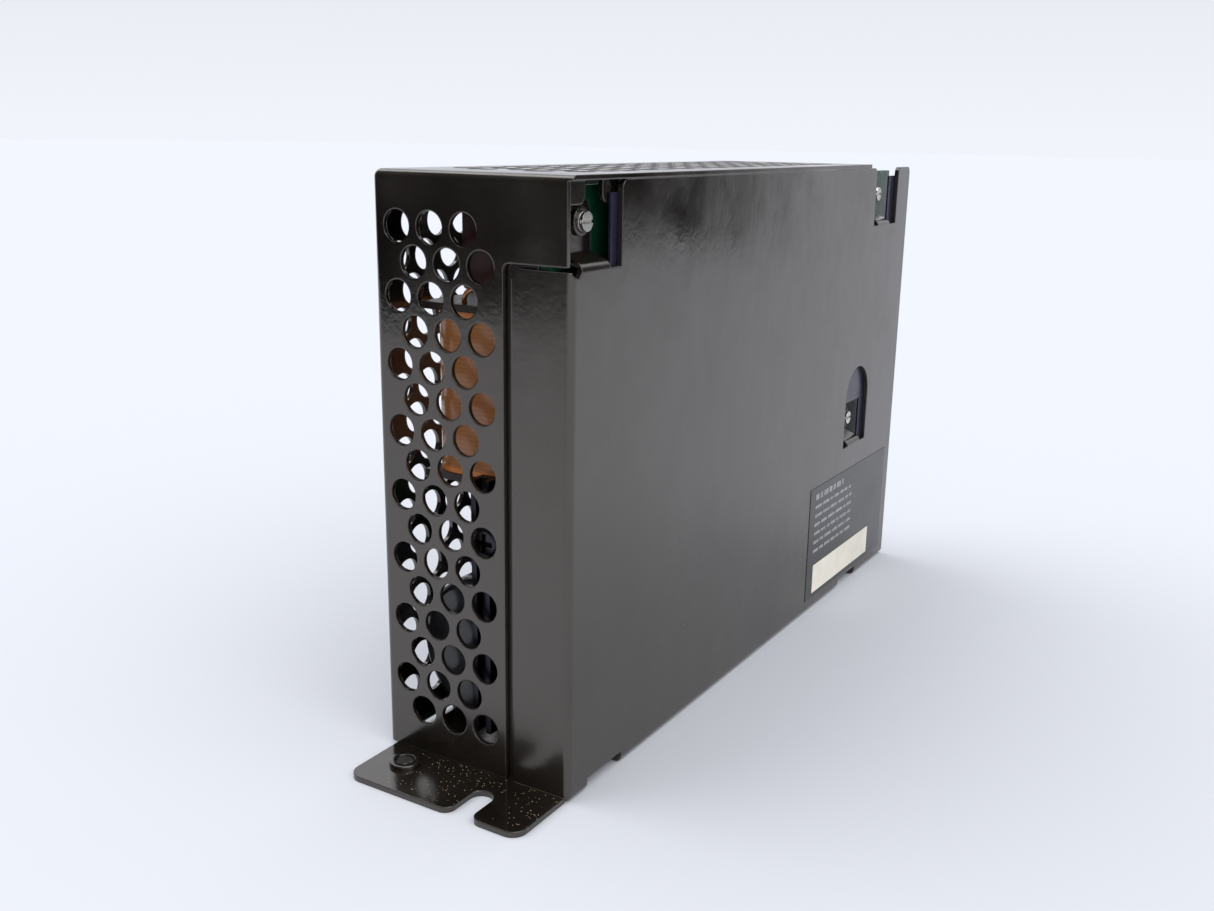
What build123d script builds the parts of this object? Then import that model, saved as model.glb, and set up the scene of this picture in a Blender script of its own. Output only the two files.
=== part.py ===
from build123d import *
import math
import os

# Enclosed 100 W switch-mode power supply, side-mounted on a panel or on a DIN rail bracket.
# Millimetres, Z up. Sizes are first laid out from the corner of the case: X across the narrow
# end, Y along the case away from the perforated end, Z up from the mounting face.
# PLACE then moves everything so that the origin is the bottom centre of the whole part.

# ---- case ------------------------------------------------------------------
WIDTH = 38.0
LENGTH = 150.0
HEIGHT = 100.0
CHASSIS_SHEET = 1.0
COVER_SHEET = 0.8
BEND_RADIUS = 1.3            # outer radius of every folded edge
TERMINAL_REACH = 26.7        # open length over the terminals
COVER_LENGTH = LENGTH - TERMINAL_REACH
CASE_GAP = 0.2               # gap between the cover and the chassis where they lap
TOP_GAP = 0.05               # gap between the chassis side and the top plate that rests on it

# ---- perforation -----------------------------------------------------------
HOLE_DIAMETER = 5.2
HOLE_PITCH = 6.6             # between holes of one row
ROW_PITCH = 5.5
TOP_ROW_DROP = 8.7           # from the top of the case to the first row's centres
FRONT_FIRST_HOLE = 4.9       # from the left wall to the first hole of the end plate
WALL_FIRST_HOLE = 8.6        # from the end plate to the first hole of the side wall
ROWS = 16
FRONT_COLUMNS = 3
WALL_END_MARGIN = 7.0        # plain strip at the open end of the cover

# ---- cover fastening ---------------------------------------------------------
CSK_DEPTH = 1.5              # depth of the countersunk head and of the dimple that holds it
CSK_HEAD = 5.6
CSK_GAP = 0.05
DIMPLE_WALL = 1.2
DIMPLE_CLEAR = 2.0           # plain sheet kept round a dimple
COVER_TIP = 1.3              # how far a cover screw passes its ear
CROSS_CUT = (0.8, 0.8, 3.2)
EAR_Z = 6.0
EAR_Y = (20.0, COVER_LENGTH - 19.3)
EAR_HALF = 5.0
EAR_TOP = 4.0                # how far an ear reaches above its screw
EAR_RADIUS = 2.0
LUG_WIDTH = 4.8
LUG_RADIUS = 1.4
LUG_DROP = 3.6
LUG_Y = (1.1, 10.8)          # lugs of the top plate that hang in the near notch
FAR_LUG_Y = (40.0, 76.0, COVER_LENGTH - 14.0)
TOP_ROWS = 5
TOP_FIRST_ROW = 7.5

# ---- split between cover and chassis on the end face ----------------------------
END_PLATE_WIDTH = WIDTH - 12.4   # narrow part of the cover's end plate
END_HEAD_WIDTH = WIDTH - 0.8     # its wide head, over the chassis flange
HEAD_DROP = 13.2             # how far the wide head comes down
RETURN_GAP = 1.55            # groove between the end plate and the chassis return
LAP_THICK = 0.7               # joggled strip behind the grooves of the end plate
RETURN_LAP = 1.0             # how far the lap strip reaches behind the end plate
RETURN_CORNER = 1.6
HEAD_CORNER = 1.2

# ---- mounting flange ---------------------------------------------------------
FLANGE_REACH = 13.0
FLANGE_LEFT = 2.0
FLANGE_RIGHT = WIDTH - 0.8
FLANGE_CORNER = 2.6
SLOT_WIDTH = 4.3
SLOT_DEPTH = 8.0             # from the front edge to the closed end
SLOT_CENTRE = WIDTH - 12.3
SLOT_MOUTH = 1.9
COLLAR_X = 8.1
COLLAR_Y = -5.3
COLLAR_HEIGHT = 0.8
COLLAR_WALL = 0.95
COLLAR_STEP = 0.5            # how far the head of a nut stands out over its spigot
PRESS_GAP = 0.01             # radial gap of a pressed-in nut
M4_BORE = 3.4                # tapped M4, core diameter
FLOOR_NUT_X = WIDTH - 19.0
FLOOR_NUT_Y = (32.0, LENGTH - 32.0)

# ---- board tabs of the chassis ----------------------------------------------------
TAB_WIDTH = 7.9
TAB_DEPTH = 3.7              # how far a tab is set in from the side plate
TAB_SLOT = 3.3
TAB_SLOPE = 1.4              # height of the sloping part of a set-in tab
TAB_RISE = 0.9               # how far the side plate rises before a tab slopes in
TAB_BEND = 1.5               # outer radius of that bend
TOP_TAB_DROP = 6.9           # from the top of the case to the upper screw centres
NEAR_TAB_Y = 6.85
FAR_TAB_Y = LENGTH - 16.0
FAR_NOTCH = (7.0, 7.9)       # from the far tab's screw to either end of its notch
NOTCH_FLOOR_DROP = 13.9      # from the top of the case to the floor of the two notches
NOTCH_RELIEF = 1.2           # radius of the relief at the near corner
SIDE_CORNER = 1.5
MID_TAB_Y = LENGTH - 26.6
MID_TAB_Z = 41.3
WINDOW_HALF = 7.1            # half width of the window round the middle tab
WINDOW_TOP = 12.6            # from the middle screw to the crown of the arch
WINDOW_LOW = 6.1
FLOOR_TAB_Y = 60.0
FLOOR_TAB_Z = 9.0
HOOK_Y = (5.8, LENGTH - 31.2)    # near ends of the two hook notches
HOOK_NOTCH = (10.9, 2.2)     # length and height of a hook notch
HOOK_SPAN = (4.9, 10.5)      # where the hook stands in its notch
HOOK_TOP = 4.0
HOOK_IN = 2.2                # how far a hook is set in from the side plate's inner face
HOOK_SHEET = 1.0

# ---- screws --------------------------------------------------------------------
M3 = 3.0
M3_HEAD_D = 5.6
M3_HEAD_H = 2.0
THREAD_GAP = 0.02            # radial gap of a screw in its thread
HOLE_GAP = 0.2               # radial gap of a screw in a plain hole
BURR_WALL = 0.7
BURR_HEIGHT = 1.0
TIP_PROUD = 1.0              # how far a board screw stands out of its tab's burr

# ---- circuit board ----------------------------------------------------------------
BOARD_THICK = 1.6
BOARD_MARGIN_Y = 1.2
BOARD_MARGIN_Z = 2.6
BOARD_TOP_DROP = 1.8
FILM_THICK = 0.4
FILM_MARGIN = 3.0
FILM_TOP_DROP = 2.8
FILM_NEAR_END = 12.2         # the film starts beyond the near tab
FILM_TAB_GAP = 0.3
SCREW_SLOT = (0.5, 0.8)      # width and depth of the slot in a screw's tip

# ---- terminal block -----------------------------------------------------------------
TERMINALS = 5
TERMINAL_PITCH = 9.5
TERMINAL_BASE_Z = 12.0
BLOCK_DEPTH = 20.0           # along the case
BLOCK_END_GAP = 1.5          # back of the block to the end of the case
BLOCK_HEIGHT = 17.0          # off the board
BLOCK_FLOOR = 9.0            # height of the contact floor off the board
BARRIER_THICK = 1.5
CONTACT_THICK = 1.0
M35 = 3.5
M35_HEAD_D = 6.6
M35_HEAD_H = 2.4
M35_PITCH = 0.6
CLAMP_SIZE = 7.4
CLAMP_THICK = 0.8
CONTACT_HALF = 3.8
SHOULDER_HALF = 3.0
TAIL_HALF = 2.0
BACK_WALL = 5.0
SCREW_IN = 12.0              # from the back of the block to the screws
RUN_GAP = 0.06               # radial running gap of a terminal screw
SCREW_LENGTH = 6.5
TERMINAL_TURNS = 4

# ---- parts on the board: heights are off its component side --------------------------------
COIL_HEIGHT = (2.7, 26.2)
COIL_Y = (6.0, 29.0)
COIL_Z = (50.5, 77.7)
COIL_CORNER = 5.5
YOKE_THICK = 5.0
LEG_GAP = 2.5                # between the coil and the outer leg of the core
BOBBIN_CHEEK = 1.2
BOBBIN_WALL = 1.0
BOBBIN_GAP = 0.1
CORE_LEG = 9.0
BULK_RADIUS = 13.5
BULK_LENGTH = 42.0
BULK_LIFT = 1.2
BULK_Z = 19.5
BULK_FRONT = 5.6
BULK_GROOVE = (1.6, 0.9)     # width and depth of the groove near the lead end
SINK_HEIGHT = (0.9, 14.2)
SINK_Z = (7.0, 51.5)
SINK_FACE_Y = 3.6
SINK_PLATE = 1.6
SINK_RIB = 1.7
SINK_RIB_PITCH = 2.6
SINK_RIB_THICK = 1.0
SINK_PIN_IN = 6.0            # from the ends of a heat sink to its solder pins
SINK_PIN = 0.6
DEVICE_HEIGHT = 11.5         # of a power device's screw
DEVICE_Z = 41.0
DEVICE_HALF = 5.0
DEVICE_TAB = 1.3
DEVICE_DEEP = 4.4
LEAD_PITCH = 2.54
SWITCH_Y = 84.0
SWITCH_Z = 72.0
SWITCH_SINK_HEIGHT = (0.9, 24.7)
SWITCH_SINK_Z = (54.0, 90.0)
SWITCH_RIBS_Z = (56.0, 60.0, 64.0, 80.0, 84.0, 88.0)
FILM_CAP_HEIGHT = (2.3, 17.1)
FILM_CAP_Y = (4.4, 12.6)
FILM_CAP_Z = (81.6, 97.2)
OUTPUT_CAP = (5.0, 20.0)     # radius and height
OUTPUT_CAP_Y = (25.0, 36.0, 47.0)
OUTPUT_CAP_Z = 91.6
OUTPUT_CHOKE = (6.5, 67.0, 82.0)     # height of the ring's middle, then Y and Z
OUTPUT_CHOKE_RING = (11.0, 6.2, 7.0)   # outer radius, inner radius and thickness of the core
OUTPUT_CHOKE_WIRE = 5.4      # radius of the wound section
LINE_CHOKE = (8.0, LENGTH - 47.5, 22.0)
LINE_CHOKE_RING = (11.0, 5.5, 9.0)
LINE_CHOKE_WIRE = 6.0
LINE_CHOKE_SPLIT = 3.2       # half the gap between its two windings
BRIDGE_HEIGHT = (3.2, 18.2)
BRIDGE_Y = LENGTH - 59.0
BRIDGE_THICK = 3.5
BRIDGE_Z = (58.0, 78.0)
BRIDGE_LEAD = 5.0            # pitch of its four leads
MAINS_CAP_HEIGHT = 16.7
MAINS_CAP_Y = (LENGTH - 53.0, LENGTH - 45.0)
MAINS_CAP_Z = (42.0, 60.0)
SAFETY_CAP_Y = LENGTH - 35.0
SAFETY_CAP_Z = (56.0, 68.0)
SAFETY_CAP = (4.0, 3.6)      # radius and thickness of the disc
VARISTOR_Y = LENGTH - 37.0
VARISTOR_Z = 86.0
VARISTOR = (6.0, 3.4)
THERMISTOR_Y = LENGTH - 58.0
THERMISTOR_Z = 46.0
THERMISTOR = (5.5, 4.2)
DISC_LIFT = 2.5
DISC_LEAD = (2.5, 0.35)      # half the pitch of a disc's leads, and their radius
AUXILIARY_CAP = (74.0, 36.0, 3.15, 11.0)     # Y, Z, radius and height
CHIP = (66.0, 54.0, 4)       # Y, Z and pins a side of the control chip
COUPLER_Y = 80.0
COUPLER_Z = (48.0, 40.0)
PACKAGE_WIDE = 6.4
PACKAGE_HIGH = 3.4
PACKAGE_LIFT = 0.4
RESISTOR_PLACES = ((60.0, 24.0), (60.0, 33.0), (60.0, 42.0), (78.0, 14.0), (78.0, 24.0))
RESISTOR = (2.0, 5.0)        # radius and half length
RESISTOR_LIFT = 3.2
RESISTOR_WIRE = 0.6
FUSE_HEIGHT = 6.2
FUSE_Y = LENGTH - 29.0
FUSE_Z = (8.0, 28.0)
FUSE_CAP = 6.0
FUSE_RADII = (1.8, 2.4, 2.6, 3.0)    # bore, glass, cap and clip

# ---- controls and labels ---------------------------------------------------------------
BLOCK_CROWN = TERMINAL_BASE_Z + TERMINALS * TERMINAL_PITCH + BARRIER_THICK
TRIMMER_Y = LENGTH - 11.0
TRIMMER_Z = BLOCK_CROWN + 15.5
TRIMMER_SIZE = 6.6
TRIMMER_HEIGHT = 5.0
ROTOR_RADIUS = 1.9
ROTOR_PROUD = 0.5
ROTOR_CUT = (1.6, 0.6, 2.8)
ROTOR_DEPTH = 1.9
LED_Y = LENGTH - 11.0
LED_Z = BLOCK_CROWN + 6.0
LED_RADIUS = 1.5
LED_LIFT = 9.0
LED_LENGTH = 3.0
LED_RIM = 0.4
LABEL_THICK = 0.1
LABEL_Y = (LENGTH - 52.0, LENGTH - 3.5)
LABEL_Z = (3.0, 29.5)
BLANK_Y = (LENGTH - 48.5, LENGTH - 13.0)
BLANK_Z = (4.1, 10.8)

# ---- frame ----------------------------------------------------------------------------
PLACE = Pos(-WIDTH / 2 - LABEL_THICK, -(LENGTH - FLANGE_REACH) / 2, 0)
EAR_X = CSK_DEPTH + COVER_SHEET
SIDE_IN = WIDTH - CHASSIS_SHEET                 # inner face of the chassis side
TAB_OUT = WIDTH - TAB_DEPTH                     # outer face of a set-in tab
TAB_IN = TAB_OUT - CHASSIS_SHEET
BOARD_OUT = TAB_IN                              # solder side of the board
BOARD_IN = BOARD_OUT - BOARD_THICK              # component side of the board
COIL_X = (BOARD_IN - COIL_HEIGHT[1], BOARD_IN - COIL_HEIGHT[0])
SINK_X = (BOARD_IN - SINK_HEIGHT[1], BOARD_IN - SINK_HEIGHT[0])
DEVICE_X = BOARD_IN - DEVICE_HEIGHT
BULK_X = BOARD_IN - BULK_LIFT - BULK_RADIUS
FUSE_X = BOARD_IN - FUSE_HEIGHT
FLOOR_LEFT = COVER_SHEET + CASE_GAP + 1.3        # the floor stays clear of the cover's wall
SIDE_TOP = HEIGHT - COVER_SHEET - TOP_GAP
NOTCH_FLOOR = HEIGHT - NOTCH_FLOOR_DROP
TOP_TAB_Z = HEIGHT - TOP_TAB_DROP
HEAD_BOTTOM = HEIGHT - HEAD_DROP
ROW_TOP = HEIGHT - TOP_ROW_DROP


def block(x, y, z):
    """A box from three (low, high) pairs."""
    size = [high - low for low, high in (x, y, z)]
    return Pos(x[0], y[0], z[0]) * Box(*size, align=(Align.MIN, Align.MIN, Align.MIN))


def rod(radius, start, length, axis):
    """A cylinder from a start point, along X, Y or Z (a negative length runs backwards)."""
    turn = {"X": Rot(0, 90, 0), "Y": Rot(-90, 0, 0), "Z": Rot(0, 0, 0)}[axis]
    step = {"X": (1, 0, 0), "Y": (0, 1, 0), "Z": (0, 0, 1)}[axis]
    base = Vector(*start)
    if length < 0:
        base = base + Vector(*step) * length
    body = Cylinder(radius, abs(length), align=(Align.CENTER, Align.CENTER, Align.MIN))
    return Pos(*base) * turn * body


def near(shape, **where):
    """Edges of a shape whose centre has the given coordinates."""
    found = []
    for edge in shape.edges():
        centre = edge.center()
        if all(abs(getattr(centre, key.upper()) - value) < 0.02 for key, value in where.items()):
            found.append(edge)
    return found


def straight(edges, axis):
    """Those of the edges that run along an axis."""
    direction = {"X": Vector(1, 0, 0), "Y": Vector(0, 1, 0), "Z": Vector(0, 0, 1)}[axis]
    return [e for e in edges
            if e.geom_type == GeomType.LINE and abs((e % 0.5).dot(direction)) > 0.999]


def pan_screw(diameter, head_d, head_h, length, cross=True):
    """A pan-head screw: the seat of its head at Z 0, the head above, the shank below."""
    head = rod(head_d / 2, (0, 0, 0), head_h, "Z")
    rim = [e for e in head.edges() if e.center().Z > head_h / 2 and e.geom_type == GeomType.CIRCLE]
    head = fillet(rim, head_h * 0.45)
    width, depth, reach = head_d * 0.15, head_h * 0.55, head_d * 0.6
    if cross:
        for angle in (0, 90):
            head -= Pos(0, 0, head_h - depth / 2) * Rot(0, 0, angle) * Box(reach, width, depth)
    return head + rod(diameter / 2, (0, 0, 0.01), -length - 0.01, "Z")


# ---- chassis ---------------------------------------------------------------------------
def set_in_tab(centre_y, centre_z, foot_z):
    """A tab that rises from foot_z, slopes in from the side plate and stands behind a screw."""
    t = CHASSIS_SHEET
    bend = foot_z + TAB_RISE
    ledge = bend + TAB_SLOPE
    top = centre_z + TAB_WIDTH / 2
    profile = Polyline(
        (WIDTH, foot_z - t), (WIDTH, bend), (TAB_OUT, ledge), (TAB_OUT, top), (TAB_IN, top),
        (TAB_IN, ledge - t / 2), (SIDE_IN, bend - t / 2), (SIDE_IN, foot_z - t), close=True)
    strip = extrude(Plane.XZ * make_face(profile), TAB_WIDTH / 2, both=True)
    strip = fillet(straight(near(strip, x=WIDTH, z=bend), "Y"), TAB_BEND)
    strip = Pos(0, centre_y, 0) * strip
    outline = block((TAB_IN - 1, WIDTH + 1), (centre_y - TAB_WIDTH / 2, centre_y + TAB_WIDTH / 2),
                    (foot_z - 2 * t, centre_z))
    outline += rod(TAB_WIDTH / 2, (TAB_IN - 1, centre_y, centre_z), TAB_DEPTH + 3, "X")
    return burr(strip & outline, centre_y, centre_z)


def burr(tab, centre_y, centre_z):
    """The drawn and tapped collar of a board tab, on its outer side."""
    core = M3 / 2 + THREAD_GAP
    tab += rod(core + BURR_WALL, (TAB_OUT - 0.1, centre_y, centre_z), BURR_HEIGHT + 0.1, "X")
    return tab - rod(core, (TAB_IN - 1, centre_y, centre_z), 5, "X")


def floor_tab():
    """The board tab that is turned up out of the floor."""
    half = TAB_WIDTH / 2
    tab = block((TAB_IN, TAB_OUT), (FLOOR_TAB_Y - half, FLOOR_TAB_Y + half),
                (CHASSIS_SHEET / 2, FLOOR_TAB_Z))
    tab += rod(half, (TAB_IN, FLOOR_TAB_Y, FLOOR_TAB_Z), CHASSIS_SHEET, "X")
    return burr(tab, FLOOR_TAB_Y, FLOOR_TAB_Z)


def flange_slot():
    """Cutter of the open mounting slot of the flange."""
    radius = SLOT_WIDTH / 2
    end = -FLANGE_REACH + SLOT_DEPTH - radius
    cut = block((SLOT_CENTRE - radius, SLOT_CENTRE + radius), (-FLANGE_REACH - 1, end), (-1, 3))
    return cut + rod(radius, (SLOT_CENTRE, end, -1), 4, "Z")


def nut_places():
    return [(COLLAR_X, COLLAR_Y)] + [(FLOOR_NUT_X, y) for y in FLOOR_NUT_Y]


def side_plate():
    """Side, near return and floor of the chassis, folded, with the notches and the window cut."""
    t = CHASSIS_SHEET
    half = TAB_WIDTH / 2
    through = (SIDE_IN - 1, WIDTH + 1)
    body = block((SIDE_IN, WIDTH), (0, LENGTH), (0, SIDE_TOP))
    body += block((FLOOR_LEFT, WIDTH), (0, LENGTH - t), (0, t))
    front = block((END_PLATE_WIDTH + RETURN_GAP, WIDTH), (0, t), (t, NOTCH_FLOOR))
    inner_corner = near(front, x=END_PLATE_WIDTH + RETURN_GAP, z=NOTCH_FLOOR)
    body += fillet(straight(inner_corner, "Y"), RETURN_CORNER)
    body -= block(through, (-1, NEAR_TAB_Y + half + TAB_SLOT), (NOTCH_FLOOR, HEIGHT))
    body -= block(through, (FAR_TAB_Y - FAR_NOTCH[0], FAR_TAB_Y + FAR_NOTCH[1]), (NOTCH_FLOOR, HEIGHT))
    body -= rod(NOTCH_RELIEF, (through[0], NEAR_TAB_Y - half - NOTCH_RELIEF, NOTCH_FLOOR + 0.3), 3, "X")
    body = fillet(straight(near(body, x=WIDTH, z=0), "Y"), BEND_RADIUS)
    tall = [e for e in straight(near(body, x=WIDTH, y=0), "Z") if e.length > HEIGHT / 5]
    body = fillet(tall, BEND_RADIUS)
    body = fillet(straight(near(body, z=SIDE_TOP), "X"), SIDE_CORNER)
    crown = MID_TAB_Z + WINDOW_TOP - WINDOW_HALF
    window = block(through, (MID_TAB_Y - WINDOW_HALF, MID_TAB_Y + WINDOW_HALF),
                   (MID_TAB_Z - WINDOW_LOW, crown))
    window += rod(WINDOW_HALF, (through[0], MID_TAB_Y, crown), 3, "X")
    return body - window


def lap_strips():
    """Set-back strips of the return that close the grooves behind the end plate's edges."""
    t = CHASSIS_SHEET
    edge = END_PLATE_WIDTH + RETURN_GAP
    depth = (t - 0.1, t + LAP_THICK)
    top = HEAD_BOTTOM + RETURN_LAP
    upright = block((END_PLATE_WIDTH - RETURN_LAP, edge + t), (t, t + LAP_THICK), (t, top))
    upright += block((edge + 0.1, edge + t), depth, (2 * t, NOTCH_FLOOR - RETURN_CORNER))
    return upright + block((edge, BOARD_IN - CASE_GAP), (t, t + LAP_THICK), (NOTCH_FLOOR - 2 * t, top))


def chassis():
    t = CHASSIS_SHEET
    body = side_plate() + lap_strips()
    # Hook notches in the lower edge, with a hook set in behind each opening.
    hook_x = (SIDE_IN - HOOK_IN, SIDE_IN - HOOK_IN + HOOK_SHEET)
    for start in HOOK_Y:
        body -= block((SIDE_IN - 4, WIDTH + 1), (start, start + HOOK_NOTCH[0]), (-1, HOOK_NOTCH[1]))
        span = (start + HOOK_SPAN[0], start + HOOK_SPAN[1])
        body += block(hook_x, span, (0, HOOK_TOP))
        body += block((hook_x[0], SIDE_IN + 0.1), span, (HOOK_TOP - HOOK_SHEET, HOOK_TOP))
    plate = block((FLANGE_LEFT, FLANGE_RIGHT), (-FLANGE_REACH, 0.2), (0, t))
    plate = fillet(straight(near(plate, y=-FLANGE_REACH), "Z"), FLANGE_CORNER)
    plate -= flange_slot()
    body += fillet(straight(near(plate, y=-FLANGE_REACH, z=t / 2), "Z"), SLOT_MOUTH)
    spigot = M4_BORE / 2 + COLLAR_WALL - COLLAR_STEP + PRESS_GAP
    for x, y in nut_places():
        body -= rod(spigot, (x, y, -1), t + 2, "Z")
    body += set_in_tab(NEAR_TAB_Y, TOP_TAB_Z, NOTCH_FLOOR)
    body += set_in_tab(FAR_TAB_Y, TOP_TAB_Z, NOTCH_FLOOR)
    body += set_in_tab(MID_TAB_Y, MID_TAB_Z, MID_TAB_Z - WINDOW_LOW)
    body += floor_tab()
    # Ears turned up out of the floor, that take the cover screws.
    for y in EAR_Y:
        top = EAR_Z + EAR_TOP
        ear = block((EAR_X, EAR_X + t), (y - EAR_HALF, y + EAR_HALF), (t / 2, top))
        ear = fillet(straight(near(ear, z=top), "X"), EAR_RADIUS)
        body += ear - rod(M3 / 2 + THREAD_GAP, (EAR_X - 1, y, EAR_Z), 3, "X")
    return body


def mounting_nuts():
    """Pressed-in M4 nuts: a spigot in the sheet and a low ring over it."""
    made = []
    outer = M4_BORE / 2 + COLLAR_WALL
    for x, y in nut_places():
        nut = rod(outer - COLLAR_STEP, (x, y, 0), CHASSIS_SHEET + 0.1, "Z")
        ring = rod(outer, (x, y, CHASSIS_SHEET), COLLAR_HEIGHT, "Z")
        rim = [e for e in ring.edges() if e.center().Z > CHASSIS_SHEET + COLLAR_HEIGHT / 2
               and e.geom_type == GeomType.CIRCLE]
        nut += fillet(rim, COLLAR_HEIGHT / 3)
        made.append(nut - rod(M4_BORE / 2, (x, y, -1), CHASSIS_SHEET + COLLAR_HEIGHT + 2, "Z"))
    return Compound(made)


# ---- cover ------------------------------------------------------------------------------
def front_holes():
    """The staggered holes of the end plate, as one group of cutters."""
    cutters = []
    for row in range(ROWS):
        z = ROW_TOP - row * ROW_PITCH
        for column in range(FRONT_COLUMNS):
            x = FRONT_FIRST_HOLE + (column + 0.5 * (row % 2)) * HOLE_PITCH
            cutters.append(rod(HOLE_DIAMETER / 2, (x, -1, z), COVER_SHEET + 2, "Y"))
    return cutters


def wall_holes():
    """The staggered holes of the long side wall, clear of the dimples of the cover screws."""
    cutters = []
    last = COVER_LENGTH - WALL_END_MARGIN
    for row in range(ROWS):
        z = ROW_TOP - row * ROW_PITCH
        y = WALL_FIRST_HOLE - 0.5 * (row % 2) * HOLE_PITCH
        while y < last:
            reach = HOLE_DIAMETER / 2 + CSK_HEAD / 2 + DIMPLE_CLEAR
            if all(math.hypot(y - ear, z - EAR_Z) > reach for ear in EAR_Y):
                cutters.append(rod(HOLE_DIAMETER / 2, (-1, y, z), COVER_SHEET + 2, "X"))
            y += HOLE_PITCH
    return cutters


def top_holes():
    """The staggered holes of the top plate."""
    cutters = []
    last = COVER_LENGTH - WALL_END_MARGIN
    low = HEIGHT - COVER_SHEET - 1
    for row in range(TOP_ROWS):
        x = TOP_FIRST_ROW + row * ROW_PITCH
        y = WALL_FIRST_HOLE - 0.5 * (row % 2) * HOLE_PITCH + HOLE_PITCH
        while y < last:
            cutters.append(rod(HOLE_DIAMETER / 2, (x, y, low), COVER_SHEET + 2, "Z"))
            y += HOLE_PITCH
    return cutters


def cover_shell():
    """The folded sheet before it is punched: side wall, top plate and the end plate's inverted L."""
    t = COVER_SHEET
    beyond = WIDTH + 6
    outer = block((0, beyond - 1), (0, COVER_LENGTH), (CHASSIS_SHEET, HEIGHT))
    outer = fillet(straight(near(outer, x=0, y=0), "Z"), BEND_RADIUS)
    rims = [e for e in near(outer, z=HEIGHT)
            if e.center().X < beyond - 2 and e.center().Y < COVER_LENGTH - 1]
    outer = fillet(rims, BEND_RADIUS)
    shell = outer - block((t, beyond), (t, COVER_LENGTH + 1), (-1, HEIGHT - t))
    shell -= block((WIDTH, beyond), (-1, COVER_LENGTH + 1), (-1, HEIGHT + 1))
    shell -= block((END_HEAD_WIDTH, WIDTH + 1), (-1, t + 0.01), (-1, HEIGHT - t))
    step = block((END_PLATE_WIDTH, WIDTH + 1), (-1, t + 0.01), (-1, HEAD_BOTTOM))
    return shell - fillet(straight(near(step, x=END_PLATE_WIDTH, z=HEAD_BOTTOM), "Y"), HEAD_CORNER)


def cover():
    t = COVER_SHEET
    shell = cover_shell()
    # Lugs bent down from the top plate, inside the film on the chassis side.
    lug_x = (SIDE_IN - FILM_THICK - CASE_GAP - t, SIDE_IN - FILM_THICK - CASE_GAP)
    foot = HEIGHT - t - LUG_DROP
    for y in LUG_Y + FAR_LUG_Y:
        lug = block(lug_x, (y, y + LUG_WIDTH), (foot, HEIGHT - t / 2))
        shell += fillet(straight(near(lug, z=foot), "X"), LUG_RADIUS)
    for cutter in (front_holes(), wall_holes(), top_holes()):
        shell -= cutter
    # Dimples for the countersunk cover screws.
    for y in EAR_Y:
        cone = Cone(CSK_HEAD / 2 + DIMPLE_WALL, M3 / 2 + DIMPLE_WALL, CSK_DEPTH + t,
                    align=(Align.CENTER, Align.CENTER, Align.MIN))
        shell += Pos(0, y, EAR_Z) * Rot(0, 90, 0) * cone
        shell -= csk_cone(y, CSK_GAP)
        shell -= rod(M3 / 2 + HOLE_GAP, (-1, y, EAR_Z), 6, "X")
    return shell


def csk_cone(y, gap):
    """The countersunk seat or head of a cover screw, flush with the left wall."""
    cone = Cone(CSK_HEAD / 2 + gap, M3 / 2 + gap, CSK_DEPTH,
                align=(Align.CENTER, Align.CENTER, Align.MIN))
    return Pos(0, y, EAR_Z) * Rot(0, 90, 0) * cone


def cover_screws():
    made = []
    length = EAR_X + CHASSIS_SHEET + COVER_TIP
    for y in EAR_Y:
        screw = csk_cone(y, 0) + rod(M3 / 2, (0.1, y, EAR_Z), length, "X")
        for angle in (0, 90):
            screw -= Pos(0.3, y, EAR_Z) * Rot(angle, 0, 0) * Box(*CROSS_CUT)
        made.append(screw)
    return Compound(made)


# ---- board --------------------------------------------------------------------------------
BOARD_Y = (BOARD_MARGIN_Y, LENGTH - BOARD_MARGIN_Y)
BOARD_Z = (BOARD_MARGIN_Z, HEIGHT - BOARD_TOP_DROP)
TAB_PLACES = ((NEAR_TAB_Y, TOP_TAB_Z), (FAR_TAB_Y, TOP_TAB_Z), (MID_TAB_Y, MID_TAB_Z),
              (FLOOR_TAB_Y, FLOOR_TAB_Z))


def circuit_board():
    board = block((BOARD_IN, BOARD_OUT), BOARD_Y, BOARD_Z)
    for y, z in TAB_PLACES:
        board -= rod(M3 / 2 + HOLE_GAP, (BOARD_IN - 1, y, z), BOARD_THICK + 2, "X")
    return board


def board_screws():
    """Screws from the component side; their slotted tips stand out of the tabs."""
    made = []
    length = TAB_OUT + BURR_HEIGHT + TIP_PROUD - BOARD_IN
    for y, z in TAB_PLACES:
        screw = pan_screw(M3, M3_HEAD_D, M3_HEAD_H, length)
        screw -= Pos(0, 0, -length) * Rot(0, 0, 90) * Box(M3 + 1, *SCREW_SLOT)
        made.append(Pos(BOARD_IN, y, z) * Rot(0, -90, 0) * screw)
    return Compound(made)


def insulating_film():
    """Insulating film between the solder side and the chassis side, cut out round the tabs."""
    top = HEIGHT - FILM_TOP_DROP
    film = block((SIDE_IN - FILM_THICK, SIDE_IN), (FILM_MARGIN, LENGTH - FILM_MARGIN),
                 (FILM_MARGIN + 2, top))
    reach = TAB_WIDTH / 2 + FILM_TAB_GAP
    across = (SIDE_IN - 2, WIDTH)
    film -= block(across, (-1, FILM_NEAR_END), (NOTCH_FLOOR - 2, HEIGHT))
    film -= block(across, (FAR_TAB_Y - reach, FAR_TAB_Y + reach), (NOTCH_FLOOR - 2, HEIGHT))
    return film - block(across, (MID_TAB_Y - reach, MID_TAB_Y + reach),
                        (MID_TAB_Z - WINDOW_LOW - 2, MID_TAB_Z + reach))


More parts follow.
